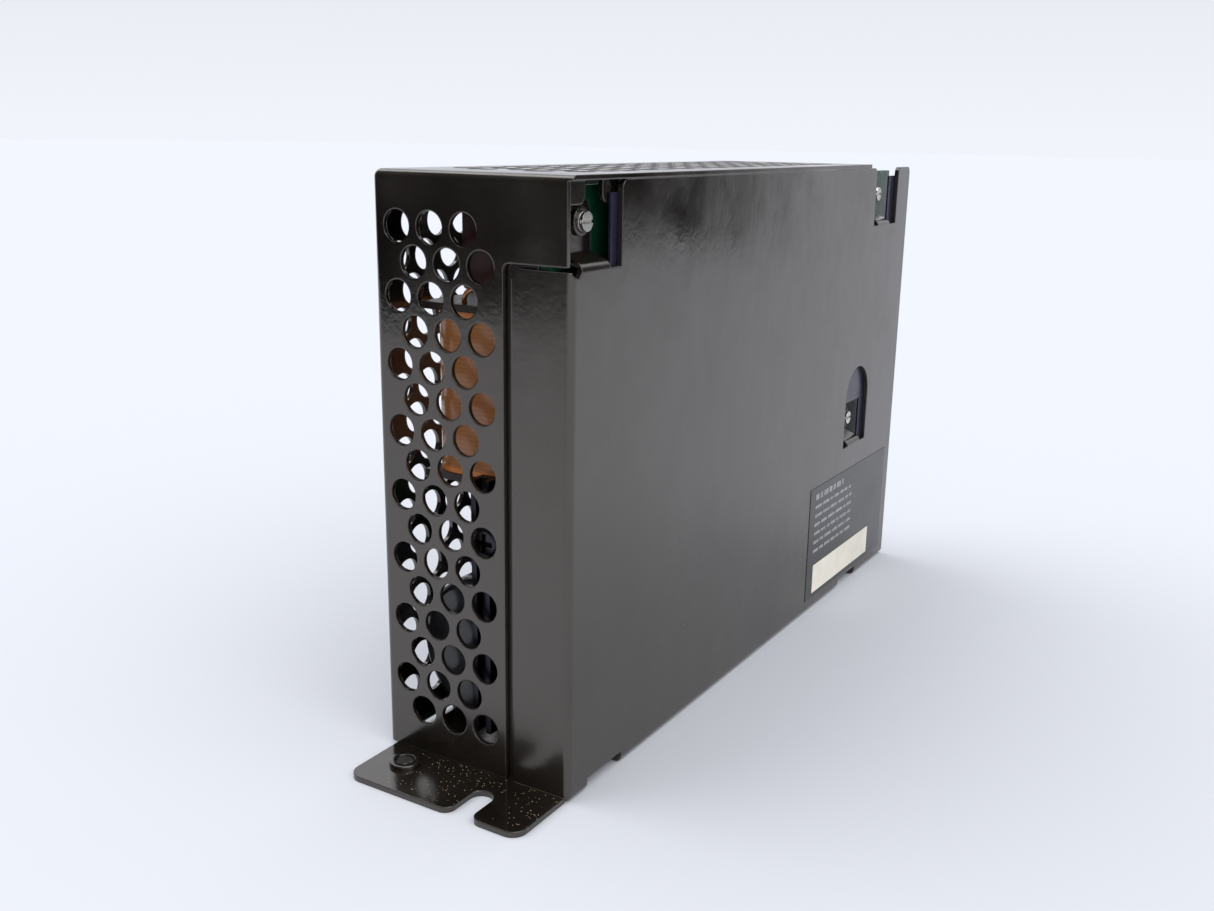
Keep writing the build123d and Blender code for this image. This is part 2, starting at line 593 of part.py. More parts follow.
# ---- parts near the perforated end --------------------------------------------------------
def core_places():
    """Across, front and back spans of the core's two legs."""
    middle_x = sum(COIL_X) / 2
    middle_y = sum(COIL_Y) / 2
    leg_x = (middle_x - CORE_LEG / 2, middle_x + CORE_LEG / 2)
    front_y = (middle_y - CORE_LEG / 2, middle_y + CORE_LEG / 2)
    back_y = (COIL_Y[1] + LEG_GAP, COIL_Y[1] + LEG_GAP + CORE_LEG)
    return leg_x, front_y, back_y


def transformer_core():
    """Two U halves: one leg through the coil, one behind it."""
    leg_x, front_y, back_y = core_places()
    low = COIL_Z[0] - BOBBIN_CHEEK
    high = COIL_Z[1] + BOBBIN_CHEEK
    middle = (low + high) / 2
    halves = []
    for near_z, far_z in ((low, low - YOKE_THICK), (high, high + YOKE_THICK)):
        half = block(leg_x, (front_y[0], back_y[1]), sorted((near_z, far_z)))
        leg_z = sorted((near_z, middle))
        halves.append(half + block(leg_x, front_y, leg_z) + block(leg_x, back_y, leg_z))
    return halves


def grown(span, margin):
    return (span[0] - margin, span[1] + margin)


def transformer_bobbin():
    """Moulded bobbin: a square tube with a cheek at each end that reaches the board."""
    leg_x, front_y, _ = core_places()
    hole = block(grown(leg_x, BOBBIN_GAP), grown(front_y, BOBBIN_GAP), grown(COIL_Z, YOKE_THICK))
    wall = BOBBIN_GAP + BOBBIN_WALL
    tube = block(grown(leg_x, wall), grown(front_y, wall), COIL_Z)
    for z in ((COIL_Z[0] - BOBBIN_CHEEK, COIL_Z[0]), (COIL_Z[1], COIL_Z[1] + BOBBIN_CHEEK)):
        tube += block((COIL_X[0] - 0.5, BOARD_IN), grown(COIL_Y, 0.4), z)
    return tube - hole


def transformer_winding():
    """The taped coil on the bobbin."""
    leg_x, front_y, _ = core_places()
    inner = BOBBIN_GAP + BOBBIN_WALL
    coil = block(COIL_X, COIL_Y, COIL_Z)
    coil = fillet(straight(coil.edges(), "Z"), COIL_CORNER)
    return coil - block(grown(leg_x, inner), grown(front_y, inner), grown(COIL_Z, 1))


def circles(shape):
    return [e for e in shape.edges() if e.geom_type == GeomType.CIRCLE]


def bulk_capacitor():
    can = rod(BULK_RADIUS, (BULK_X, BULK_FRONT, BULK_Z), BULK_LENGTH, "Y")
    can = fillet(circles(can), 1.5)
    width, depth = BULK_GROOVE
    start = BULK_FRONT + BULK_LENGTH - 5
    groove = rod(BULK_RADIUS + 1, (BULK_X, start, BULK_Z), width, "Y")
    return can - (groove - rod(BULK_RADIUS - depth, (BULK_X, start - 1, BULK_Z), width + 2, "Y"))


def bulk_capacitor_holder():
    """Plastic holder that stands the lying capacitor on the board by its lead end."""
    start = BULK_FRONT + BULK_LENGTH
    half = BULK_RADIUS * 2 / 3
    return block((BULK_X - half, BOARD_IN), (start, start + 3), (BULK_Z - half, BULK_Z + half))


def heat_sink(x, face_y, z, ribs, hole, pins):
    """A heat sink plate with ribs on its near side and two solder pins to the board."""
    body = block(x, (face_y, face_y + SINK_PLATE), z)
    for rib_x, rib_z in ribs:
        body += block(rib_x, (face_y - SINK_RIB, face_y + 0.1), rib_z)
    body -= rod(M3_HEAD_D / 2 + 0.5, (hole[0], face_y, hole[1]), -3, "Y")
    body -= rod(M3 / 2 + THREAD_GAP, (hole[0], face_y - 1, hole[1]), SINK_PLATE + 3, "Y")
    for pin_z in pins:
        body += rod(SINK_PIN, (x[1] - 0.2, face_y + SINK_PLATE / 2, pin_z), BOARD_IN - x[1] + 0.2, "X")
    return body


def output_heat_sink():
    count = int((SINK_X[1] - SINK_X[0] - SINK_RIB_THICK) / SINK_RIB_PITCH) + 1
    starts = [SINK_X[0] + index * SINK_RIB_PITCH for index in range(count)]
    ribs = [((x, x + SINK_RIB_THICK), SINK_Z) for x in starts]
    pins = (SINK_Z[0] + SINK_PIN_IN, SINK_Z[1] - SINK_PIN_IN)
    return heat_sink(SINK_X, SINK_FACE_Y, SINK_Z, ribs, (DEVICE_X, DEVICE_Z), pins)


def switch_heat_sink():
    x = (BOARD_IN - SWITCH_SINK_HEIGHT[1], BOARD_IN - SWITCH_SINK_HEIGHT[0])
    half = SINK_RIB_THICK / 2
    ribs = [((x[0], x[1] - 2.8), (z - half, z + half)) for z in SWITCH_RIBS_Z]
    pins = (SWITCH_SINK_Z[0] + SINK_PIN_IN, SWITCH_SINK_Z[1] - SINK_PIN_IN)
    return heat_sink(x, SWITCH_Y, SWITCH_SINK_Z, ribs, (DEVICE_X, SWITCH_Z), pins)


def power_device(y, z):
    """A flat power device: tab against the plate at y, body behind, three leads to the board."""
    x = DEVICE_X
    half = DEVICE_HALF
    tab = block((x - half, x + 8), (y, y + DEVICE_TAB), (z - half, z + half))
    tab -= rod(M3 / 2 + THREAD_GAP, (x, y - 1, z), 4, "Y")
    body = block((x + 3.2, x + 8.4), (y + DEVICE_TAB - 0.2, y + DEVICE_DEEP), (z - half, z + half))
    for step in (-LEAD_PITCH, 0, LEAD_PITCH):
        body += block((x + 8.3, BOARD_IN), (y + 2.2, y + 2.8), (z + step - 0.4, z + step + 0.4))
    return tab + body


def device_screw(y_head, z):
    screw = pan_screw(M3, M3_HEAD_D, M3_HEAD_H, SINK_PLATE + DEVICE_TAB + 0.3)
    return Pos(DEVICE_X, y_head, z) * Rot(90, 0, 0) * screw


def film_capacitor():
    """A dipped box that stands off the board on two leads."""
    x = (BOARD_IN - FILM_CAP_HEIGHT[1], BOARD_IN - FILM_CAP_HEIGHT[0])
    box = block(x, FILM_CAP_Y, FILM_CAP_Z)
    box = fillet(box.edges().filter_by(Axis.X), 1.0)
    for z in (FILM_CAP_Z[0] + 2, FILM_CAP_Z[0] + 6):
        box += rod(DISC_LEAD[1], (x[1] - 1, sum(FILM_CAP_Y) / 2, z), FILM_CAP_HEIGHT[0] + 1, "X")
    return box


def mains_capacitor():
    box = block((BOARD_IN - MAINS_CAP_HEIGHT, BOARD_IN), MAINS_CAP_Y, MAINS_CAP_Z)
    return fillet(box.edges().filter_by(Axis.X), 1.0)


def radial_capacitor(y, z, radius, height):
    """An electrolytic capacitor standing on the board, vent end away from it."""
    top = BOARD_IN - height
    can = fillet(circles(rod(radius, (top, y, z), height, "X")), 0.6)
    for angle in (45, 135):
        can -= Pos(top, y, z) * Rot(angle, 0, 0) * Box(0.5, radius * 1.3, 0.35)
    return can


# ---- parts along the board ------------------------------------------------------------------
def ring_choke(place, ring, wire):
    """A ring core and the wound skin round it."""
    height, y, z = place
    outer, inner, thick = ring
    x = BOARD_IN - height
    core = rod(outer, (x - thick / 2, y, z), thick, "X") - rod(inner, (x - thick, y, z), 2 * thick, "X")
    gap = 0.05
    skin = rod(outer + gap, (x - thick / 2 - gap, y, z), thick + 2 * gap, "X")
    skin -= rod(inner - gap, (x - thick, y, z), 2 * thick, "X")
    wound = Pos(x, y, z) * Rot(0, 90, 0) * Torus((outer + inner) / 2, wire)
    return core, wound - skin


def line_choke():
    core, wound = ring_choke(LINE_CHOKE, LINE_CHOKE_RING, LINE_CHOKE_WIRE)
    _, y, z = LINE_CHOKE
    return core, wound - block((0, WIDTH), grown((y, y), LINE_CHOKE_SPLIT), grown((z, z), 20))


def bridge_rectifier():
    x = (BOARD_IN - BRIDGE_HEIGHT[1], BOARD_IN - BRIDGE_HEIGHT[0])
    body = block(x, (BRIDGE_Y, BRIDGE_Y + BRIDGE_THICK), BRIDGE_Z)
    body = chamfer(straight(near(body, x=x[0], z=BRIDGE_Z[1]), "Y"), 2.0)
    for step in range(4):
        z = BRIDGE_Z[0] + BRIDGE_LEAD / 2 + step * BRIDGE_LEAD
        body += block((x[1] - 0.1, BOARD_IN), (BRIDGE_Y + 1.2, BRIDGE_Y + 2.2), grown((z, z), 0.5))
    return body


def disc_part(y, z, size):
    """A dipped disc on two leads, standing edge-on to the board."""
    radius, thick = size
    half_pitch, lead = DISC_LEAD
    x = BOARD_IN - DISC_LIFT - radius
    disc = fillet(circles(rod(radius, (x, y - thick / 2, z), thick, "Y")), thick * 0.4)
    for step in (-half_pitch, half_pitch):
        disc += rod(lead, (x + radius * 0.4, y, z + step), DISC_LIFT + radius * 0.6, "X")
    return disc


def fuse():
    """Glass tube fuse: the tube and its two end caps."""
    bore, glass, cap_radius, _ = FUSE_RADII
    low, high = FUSE_Z
    tube = rod(glass, (FUSE_X, FUSE_Y, low + FUSE_CAP - 1), high - low - 2 * FUSE_CAP + 2, "Z")
    tube -= rod(bore, (FUSE_X, FUSE_Y, low), high - low, "Z")
    caps = []
    for z, hollow in ((low, low + 0.6), (high - FUSE_CAP, high - FUSE_CAP - 0.6)):
        cap = rod(cap_radius, (FUSE_X, FUSE_Y, z), FUSE_CAP, "Z")
        caps.append(cap - rod(glass, (FUSE_X, FUSE_Y, hollow), FUSE_CAP, "Z"))
    return tube, Compound(caps)


def fuse_clips():
    """Two sprung clips that grip the caps, soldered to the board."""
    cap_radius, clip = FUSE_RADII[2:]
    clips = []
    for z in (FUSE_Z[0] + 1.0, FUSE_Z[1] - 5.0):
        cup = rod(clip, (FUSE_X, FUSE_Y, z), 4.0, "Z")
        cup -= rod(cap_radius, (FUSE_X, FUSE_Y, z - 1), 6.0, "Z")
        cup -= block((FUSE_X - 5, FUSE_X - 1.6), grown((FUSE_Y, FUSE_Y), 5), (z - 1, z + 5))
        foot = block((FUSE_X + clip - 0.3, BOARD_IN), grown((FUSE_Y, FUSE_Y), 0.5), (z, z + 4.0))
        clips.append(cup + foot)
    return Compound(clips)


def small_package(y, z, pins):
    """A moulded dual in-line package with bent pins on both sides."""
    wide = PACKAGE_WIDE
    tall = pins * LEAD_PITCH - 0.5
    low = BOARD_IN - PACKAGE_LIFT - PACKAGE_HIGH
    body = block((low, BOARD_IN - PACKAGE_LIFT), grown((y, y), wide / 2), grown((z, z), tall / 2))
    body = chamfer(body.faces().sort_by(Axis.X)[0].edges(), 0.4)
    for side in (-1, 1):
        edge = y + side * (wide / 2 + 0.3)
        for step in range(pins):
            pin_z = z + (step - (pins - 1) / 2) * LEAD_PITCH
            body += block((low + 1.2, BOARD_IN), grown((edge, edge), 0.35), grown((pin_z, pin_z), 0.3))
    return body


def power_resistors():
    made = []
    radius, half = RESISTOR
    wire = RESISTOR_WIRE
    x = BOARD_IN - RESISTOR_LIFT
    for y, z in RESISTOR_PLACES:
        body = rod(radius, (x, y - half, z), 2 * half, "Y")
        body += block((x - wire / 2, x + wire / 2), grown((y, y), half + 2), grown((z, z), wire / 2))
        for side in (y - half - 2, y + half + 2 - wire):
            body += block((x - wire / 2, BOARD_IN), (side, side + wire), grown((z, z), wire / 2))
        made.append(body)
    return Compound(made)


# ---- terminals ------------------------------------------------------------------------------
BLOCK_Y = (LENGTH - BLOCK_END_GAP - BLOCK_DEPTH, LENGTH - BLOCK_END_GAP)
BLOCK_TOP = BOARD_IN - BLOCK_HEIGHT
CONTACT_SEAT = BOARD_IN - BLOCK_FLOOR
SCREW_Y = BLOCK_Y[0] + SCREW_IN
CLAMP_OUT = CONTACT_SEAT - CONTACT_THICK - CLAMP_THICK
TAIL_Y = BLOCK_Y[0] + 3.5


def terminal_z(index):
    return TERMINAL_BASE_Z + BARRIER_THICK / 2 + (index + 0.5) * TERMINAL_PITCH


def terminal_block():
    """Barrier block: floor, back wall, barriers between the screws, blind screw wells."""
    span_z = (TERMINAL_BASE_Z, BLOCK_CROWN)
    body = block((CONTACT_SEAT, BOARD_IN), BLOCK_Y, span_z)
    body += block((BLOCK_TOP, CONTACT_SEAT + 1), (BLOCK_Y[0], BLOCK_Y[0] + BACK_WALL), span_z)
    for index in range(TERMINALS + 1):
        z = TERMINAL_BASE_Z + index * TERMINAL_PITCH
        wall = block((BLOCK_TOP, CONTACT_SEAT + 1), BLOCK_Y, (z, z + BARRIER_THICK))
        body += chamfer(straight(near(wall, x=BLOCK_TOP, y=BLOCK_Y[1]), "Z"), 3.0)
    for index in range(TERMINALS):
        z = terminal_z(index)
        body -= rod(M35 / 2 + 0.4, (CONTACT_SEAT - 1, SCREW_Y, z), SCREW_LENGTH + 1.6, "X")
        # Slot for the contact's tail, down to the board, and the recess of its shoulder.
        body -= block((CONTACT_SEAT - 2, BOARD_IN + 1), (TAIL_Y - 0.1, TAIL_Y + 1.1),
                      grown((z, z), TAIL_HALF + 0.1))
        body -= block((CONTACT_SEAT - CONTACT_THICK - 0.1, CONTACT_SEAT), (TAIL_Y - 0.1, TAIL_Y + 2.5),
                      grown((z, z), SHOULDER_HALF + 0.1))
    return body


def terminal_contacts():
    """Plated contact plates, tapped for the screws, with a tail to the board."""
    made = []
    x = (CONTACT_SEAT - CONTACT_THICK, CONTACT_SEAT)
    for index in range(TERMINALS):
        z = terminal_z(index)
        plate = block(x, (BLOCK_Y[0] + BACK_WALL + 0.2, BLOCK_Y[1] - 0.6), grown((z, z), CONTACT_HALF))
        plate += block(x, (TAIL_Y, TAIL_Y + 2.5), grown((z, z), SHOULDER_HALF))
        plate += block((x[0], BOARD_IN), (TAIL_Y, TAIL_Y + 1), grown((z, z), TAIL_HALF))
        made.append(plate - rod(M35 / 2 + RUN_GAP, (x[0] - 1, SCREW_Y, z), 4, "X"))
    return Compound(made)


def terminal_clamp(index):
    """Square clamp washer that rises and falls with its screw."""
    z = terminal_z(index)
    half = CLAMP_SIZE / 2
    washer = block((CLAMP_OUT, CLAMP_OUT + CLAMP_THICK), grown((SCREW_Y, SCREW_Y), half),
                   grown((z, z), half))
    washer = fillet(straight(washer.edges(), "X"), 0.6)
    return washer - rod(M35 / 2 + RUN_GAP, (CLAMP_OUT - 1, SCREW_Y, z), 4, "X")


def terminal_screw(index):
    screw = pan_screw(M35, M35_HEAD_D, M35_HEAD_H, SCREW_LENGTH)
    return Pos(CLAMP_OUT, SCREW_Y, terminal_z(index)) * Rot(0, -90, 0) * screw


# ---- controls by the terminals ------------------------------------------------------------------
def trimmer_body():
    half = TRIMMER_SIZE / 2
    top = BOARD_IN - TRIMMER_HEIGHT
    body = block((top, BOARD_IN), grown((TRIMMER_Y, TRIMMER_Y), half), grown((TRIMMER_Z, TRIMMER_Z), half))
    return body - rod(ROTOR_RADIUS + RUN_GAP, (top - 1, TRIMMER_Y, TRIMMER_Z), ROTOR_DEPTH + 1.1, "X")


def trimmer_rotor():
    """Rotor with a cross slot, turned with a small screwdriver."""
    top = BOARD_IN - TRIMMER_HEIGHT - ROTOR_PROUD
    rotor = rod(ROTOR_RADIUS, (top, TRIMMER_Y, TRIMMER_Z), ROTOR_PROUD + ROTOR_DEPTH, "X")
    for angle in (0, 90):
        rotor -= Pos(top, TRIMMER_Y, TRIMMER_Z) * Rot(angle, 0, 0) * Box(*ROTOR_CUT)
    return rotor


def status_led():
    base = BOARD_IN - LED_LIFT
    led = rod(LED_RADIUS, (base - LED_LENGTH, LED_Y, LED_Z), LED_LENGTH + 0.2, "X")
    led += Pos(base - LED_LENGTH, LED_Y, LED_Z) * Sphere(LED_RADIUS)
    led += rod(LED_RADIUS + LED_RIM, (base - 0.6, LED_Y, LED_Z), 0.8, "X")
    for z in (LED_Z - LEAD_PITCH / 4, LED_Z + LEAD_PITCH / 4):
        led += block((base, BOARD_IN), grown((LED_Y, LED_Y), 0.25), grown((z, z), 0.2))
    return led


# ---- labels ---------------------------------------------------------------------------------------
def rating_label():
    return block((WIDTH, WIDTH + LABEL_THICK), LABEL_Y, LABEL_Z)


def blank_label():
    x = WIDTH + LABEL_THICK
    return block((x, x + LABEL_THICK), BLANK_Y, BLANK_Z)


# ---- all nodes ------------------------------------------------------------------------------------
def all_nodes():
    core_lower, core_upper = transformer_core()
    choke_core, choke_winding = ring_choke(OUTPUT_CHOKE, OUTPUT_CHOKE_RING, OUTPUT_CHOKE_WIRE)
    line_core, line_windings = line_choke()
    tube, caps = fuse()
    output_cans = [radial_capacitor(y, OUTPUT_CAP_Z, *OUTPUT_CAP) for y in OUTPUT_CAP_Y]
    nodes = {
        "chassis": chassis(),
        "mounting_nuts": mounting_nuts(),
        "perforated_cover": cover(),
        "cover_screws": cover_screws(),
        "circuit_board": circuit_board(),
        "board_screws": board_screws(),
        "insulating_film": insulating_film(),
        "rating_label": rating_label(),
        "serial_label": blank_label(),
        "transformer_core_lower": core_lower,
        "transformer_core_upper": core_upper,
        "transformer_bobbin": transformer_bobbin(),
        "transformer_winding": transformer_winding(),
        "bulk_capacitor": bulk_capacitor(),
        "bulk_capacitor_holder": bulk_capacitor_holder(),
        "output_heat_sink": output_heat_sink(),
        "output_diode": power_device(SINK_FACE_Y + SINK_PLATE, DEVICE_Z),
        "output_diode_screw": device_screw(SINK_FACE_Y, DEVICE_Z),
        "film_capacitor": film_capacitor(),
        "output_capacitors": Compound(output_cans),
        "output_choke_core": choke_core,
        "output_choke_winding": choke_winding,
        "line_choke_core": line_core,
        "line_choke_windings": line_windings,
        "switch_heat_sink": switch_heat_sink(),
        "switch_transistor": power_device(SWITCH_Y + SINK_PLATE, SWITCH_Z),
        "switch_transistor_screw": device_screw(SWITCH_Y, SWITCH_Z),
        "bridge_rectifier": bridge_rectifier(),
        "interference_capacitor": mains_capacitor(),
        "safety_capacitors": Compound([disc_part(SAFETY_CAP_Y, z, SAFETY_CAP) for z in SAFETY_CAP_Z]),
        "varistor": disc_part(VARISTOR_Y, VARISTOR_Z, VARISTOR),
        "thermistor": disc_part(THERMISTOR_Y, THERMISTOR_Z, THERMISTOR),
        "auxiliary_capacitor": radial_capacitor(*AUXILIARY_CAP),
        "control_ic": small_package(*CHIP),
        "optocouplers": Compound([small_package(COUPLER_Y, z, 2) for z in COUPLER_Z]),
        "power_resistors": power_resistors(),
        "fuse_tube": tube,
        "fuse_caps": caps,
        "fuse_clips": fuse_clips(),
        "terminal_block": terminal_block(),
        "terminal_contacts": terminal_contacts(),
        "voltage_trimmer_body": trimmer_body(),
        "voltage_trimmer_rotor": trimmer_rotor(),
        "status_led": status_led(),
    }
    for index in range(TERMINALS):
        nodes[f"terminal_clamp_{index + 1}"] = terminal_clamp(index)
        nodes[f"terminal_screw_{index + 1}"] = terminal_screw(index)
    return nodes


os.makedirs("parts", exist_ok=True)
for name, shape in all_nodes().items():
    export_step(PLACE * shape, f"parts/{name}.step")
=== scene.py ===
import math
import random

import bmesh
import bpy
from mathutils import Euler, Matrix, Vector


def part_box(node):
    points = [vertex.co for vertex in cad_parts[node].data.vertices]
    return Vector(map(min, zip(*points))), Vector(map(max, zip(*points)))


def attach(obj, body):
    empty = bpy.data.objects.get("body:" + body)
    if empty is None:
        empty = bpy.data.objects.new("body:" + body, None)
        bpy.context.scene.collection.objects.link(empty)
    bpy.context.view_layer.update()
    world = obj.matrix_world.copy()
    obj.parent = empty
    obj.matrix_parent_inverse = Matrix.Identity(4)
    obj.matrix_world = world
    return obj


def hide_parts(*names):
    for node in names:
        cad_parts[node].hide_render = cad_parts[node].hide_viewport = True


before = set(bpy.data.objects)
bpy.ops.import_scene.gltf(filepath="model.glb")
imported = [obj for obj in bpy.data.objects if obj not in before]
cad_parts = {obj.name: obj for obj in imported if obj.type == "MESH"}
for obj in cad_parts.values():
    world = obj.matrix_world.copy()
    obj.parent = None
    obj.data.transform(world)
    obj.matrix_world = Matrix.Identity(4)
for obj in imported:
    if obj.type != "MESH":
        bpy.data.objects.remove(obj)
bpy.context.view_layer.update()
MM = 0.001

# Chassis: one piece of 1 mm steel, punched, folded and stove-enamelled glossy black.
# It is the side plate, the floor, the slotted mounting flange and the tabs that hold the board.


def new_material(name):
    """An empty node material: returns it with its node tree and its shader."""
    material = bpy.data.materials.new(name)
    material.use_nodes = True
    tree = material.node_tree
    return material, tree, tree.nodes["Principled BSDF"]


def grain(tree, scale, detail=3.0, rough=0.55, stretch=(1, 1, 1)):
    """Noise in object coordinates: returns its factor, 0 to 1."""
    place = tree.nodes.new("ShaderNodeTexCoord")
    mapping = tree.nodes.new("ShaderNodeMapping")
    mapping.inputs["Scale"].default_value = stretch
    noise = tree.nodes.new("ShaderNodeTexNoise")
    noise.inputs["Scale"].default_value = scale
    noise.inputs["Detail"].default_value = detail
    noise.inputs["Roughness"].default_value = rough
    tree.links.new(place.outputs["Object"], mapping.inputs["Vector"])
    tree.links.new(mapping.outputs["Vector"], noise.inputs["Vector"])
    return noise.outputs["Fac"]


def spread(tree, factor, low, high, start=0.3, end=0.7):
    """Maps a factor onto a range of values."""
    span = tree.nodes.new("ShaderNodeMapRange")
    span.inputs["From Min"].default_value = start
    span.inputs["From Max"].default_value = end
    span.inputs["To Min"].default_value = low
    span.inputs["To Max"].default_value = high
    tree.links.new(factor, span.inputs["Value"])
    return span.outputs["Result"]


def blend_colours(tree, factor, first, second):
    """Mixes two colours, each a tuple or a socket, by a factor."""
    mix = tree.nodes.new("ShaderNodeMix")
    mix.data_type = "RGBA"
    tree.links.new(factor, mix.inputs[0])
    for socket, value in ((mix.inputs[6], first), (mix.inputs[7], second)):
        if isinstance(value, tuple):
            socket.default_value = (*value, 1.0)
        else:
            tree.links.new(value, socket)
    return mix.outputs[2]


def relief(tree, height, strength, distance, edge=0.0):
    """A bump from a height, over edges that are rounded by a small radius."""
    bump = tree.nodes.new("ShaderNodeBump")
    bump.inputs["Strength"].default_value = strength
    bump.inputs["Distance"].default_value = distance
    tree.links.new(height, bump.inputs["Height"])
    if edge:
        bevel = tree.nodes.new("ShaderNodeBevel")
        bevel.samples = 6
        bevel.inputs["Radius"].default_value = edge
        tree.links.new(bevel.outputs["Normal"], bump.inputs["Normal"])
    return bump.outputs["Normal"]


def dress(node, material):
    """Gives a CAD node its finish."""
    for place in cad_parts[node].material_slots:
        place.material = material


def stove_enamel(name):
    """Glossy warm-black enamel: cloudy handling smears, slight waves of the sheet, fine specks."""
    material, tree, shader = new_material(name)
    cloud = grain(tree, 34, 3.0, 0.55, (0.6, 1.0, 0.8))
    smear = grain(tree, 130, 4.0, 0.62, (1.0, 0.7, 1.0))
    specks = grain(tree, 2600, 2.0, 0.6)
    colour = blend_colours(tree, spread(tree, cloud, 0, 1), (0.003, 0.0024, 0.0018),
                           (0.017, 0.0138, 0.0105))
    flecks = spread(tree, specks, 0.0, 0.5, 0.71, 0.79)
    tree.links.new(blend_colours(tree, flecks, colour, (0.075, 0.06, 0.042)),
                   shader.inputs["Base Color"])
    haze = tree.nodes.new("ShaderNodeMath")
    haze.operation = "ADD"
    tree.links.new(spread(tree, cloud, 0.09, 0.27), haze.inputs[0])
    tree.links.new(spread(tree, smear, -0.03, 0.05), haze.inputs[1])
    tree.links.new(haze.outputs[0], shader.inputs["Roughness"])
    waves = relief(tree, cloud, 0.35, 0.0009, 0.00034)
    peel = tree.nodes.new("ShaderNodeBump")
    peel.inputs["Strength"].default_value = 0.06
    peel.inputs["Distance"].default_value = 0.0002
    tree.links.new(grain(tree, 900, 2.0, 0.5), peel.inputs["Height"])
    tree.links.new(waves, peel.inputs["Normal"])
    tree.links.new(peel.outputs["Normal"], shader.inputs["Normal"])
    shader.inputs["IOR"].default_value = 1.86
    shader.inputs["Specular Tint"].default_value = (1.0, 0.93, 0.86, 1.0)
    return material


enamel = stove_enamel("stoved_black_enamel")
dress("chassis", enamel)
dress("mounting_nuts", enamel)

# Perforated cover: 0.8 mm steel with staggered round holes, folded on three sides and enamelled
# with the chassis. Its lugs hook inside the side plate and two sunk screws hold it to the floor.
dress("perforated_cover", enamel)


# Cover screws: blackened countersunk M3 steel screws, flush in dimples of the perforated wall.
# They hold the cover to two ears turned up out of the chassis floor.
def metal(name, colour, rough, brushed=(1, 1, 1), dirt=(0.1, 0.09, 0.08), edge=0.00012):
    """Bare or plated metal with fine scratches and a little grime."""
    material, tree, shader = new_material(name)
    cloud = grain(tree, 260, 4.0, 0.6)
    scratch = grain(tree, 2600, 2.0, 0.6, brushed)
    grime = spread(tree, cloud, 0.0, 0.22, 0.55, 0.8)
    tree.links.new(blend_colours(tree, grime, colour, dirt), shader.inputs["Base Color"])
    tree.links.new(spread(tree, scratch, rough - 0.08, rough + 0.1), shader.inputs["Roughness"])
    tree.links.new(relief(tree, scratch, 0.06, 0.00006, edge), shader.inputs["Normal"])
    shader.inputs["Metallic"].default_value = 1.0
    return material


black_screw = metal("blackened_screw_steel", (0.045, 0.045, 0.05), 0.34, dirt=(0.02, 0.018, 0.016))
dress("cover_screws", black_screw)


# Circuit board: 1.6 mm glass epoxy with green solder mask; broad copper pours show through it.
# It stands on edge against the tabs of the chassis and carries all the inner parts.
def solder_mask():
    """Green mask over copper pours, with the faint weave of the glass cloth."""
    material, tree, shader = new_material("green_solder_mask")
    place = tree.nodes.new("ShaderNodeTexCoord")
    pours = tree.nodes.new("ShaderNodeTexVoronoi")
    pours.feature = "DISTANCE_TO_EDGE"
    pours.distance = "MANHATTAN"
    pours.inputs["Scale"].default_value = 95
    pours.inputs["Randomness"].default_value = 0.75
    tree.links.new(place.outputs["Object"], pours.inputs["Vector"])
    track = spread(tree, pours.outputs["Distance"], 1.0, 0.0, 0.03, 0.07)
    weave = grain(tree, 1500, 2.0, 0.5, (1, 1, 0.35))
    mask = blend_colours(tree, track, (0.005, 0.062, 0.03), (0.003, 0.04, 0.021))
    tree.links.new(blend_colours(tree, spread(tree, weave, 0, 0.35), mask, (0.012, 0.1, 0.05)),
                   shader.inputs["Base Color"])
    tree.links.new(spread(tree, weave, 0.28, 0.4), shader.inputs["Roughness"])
    tree.links.new(relief(tree, track, 0.4, 0.00004), shader.inputs["Normal"])
    return material


board_green = solder_mask()
dress("circuit_board", board_green)


# Board screws: nickel-plated M3 screws put in from the parts side. Their slotted tips stand out of
# the tabs; the thread is a fine ridge wound on the bare shank, made by Geometry Nodes.
def node_tree(name, numbers=(), whole=()):
    """A Geometry Nodes tree with named number inputs and one material input."""
    tree = bpy.data.node_groups.new(name, "GeometryNodeTree")
    tree.interface.new_socket(name="Geometry", in_out="INPUT", socket_type="NodeSocketGeometry")
    for label in numbers:
        tree.interface.new_socket(name=label, in_out="INPUT", socket_type="NodeSocketFloat")
    for label in whole:
        tree.interface.new_socket(name=label, in_out="INPUT", socket_type="NodeSocketInt")
    tree.interface.new_socket(name="Finish", in_out="INPUT", socket_type="NodeSocketMaterial")
    tree.interface.new_socket(name="Geometry", in_out="OUTPUT", socket_type="NodeSocketGeometry")
    return tree, tree.nodes.new("NodeGroupInput"), tree.nodes.new("NodeGroupOutput")


def end_tree(tree, start, end, geometry):
    """Realizes the instances, sets the finish and closes the tree."""
    real = tree.nodes.new("GeometryNodeRealizeInstances")
    finish = tree.nodes.new("GeometryNodeSetMaterial")
    tree.links.new(geometry, real.inputs[0])
    tree.links.new(real.outputs[0], finish.inputs["Geometry"])
    tree.links.new(start.outputs["Finish"], finish.inputs["Material"])
    tree.links.new(finish.outputs["Geometry"], end.inputs[0])


def grow(tree, values, material, base=None):
    """Runs a tree with its named inputs set, and returns the plain mesh that it makes."""
    host = bpy.data.objects.new("host", base or bpy.data.meshes.new("host"))
    bpy.context.scene.collection.objects.link(host)
    modifier = host.modifiers.new("grow", "NODES")
    modifier.node_group = tree
    for item in tree.interface.items_tree:
        if item.in_out == "INPUT" and item.name in values:
            modifier[item.identifier] = values[item.name]
        if item.in_out == "INPUT" and item.name == "Finish":
            modifier[item.identifier] = material
    host.update_tag()
    graph = bpy.context.evaluated_depsgraph_get()
    mesh = bpy.data.meshes.new_from_object(host.evaluated_get(graph))
    bpy.data.objects.remove(host)
    return mesh


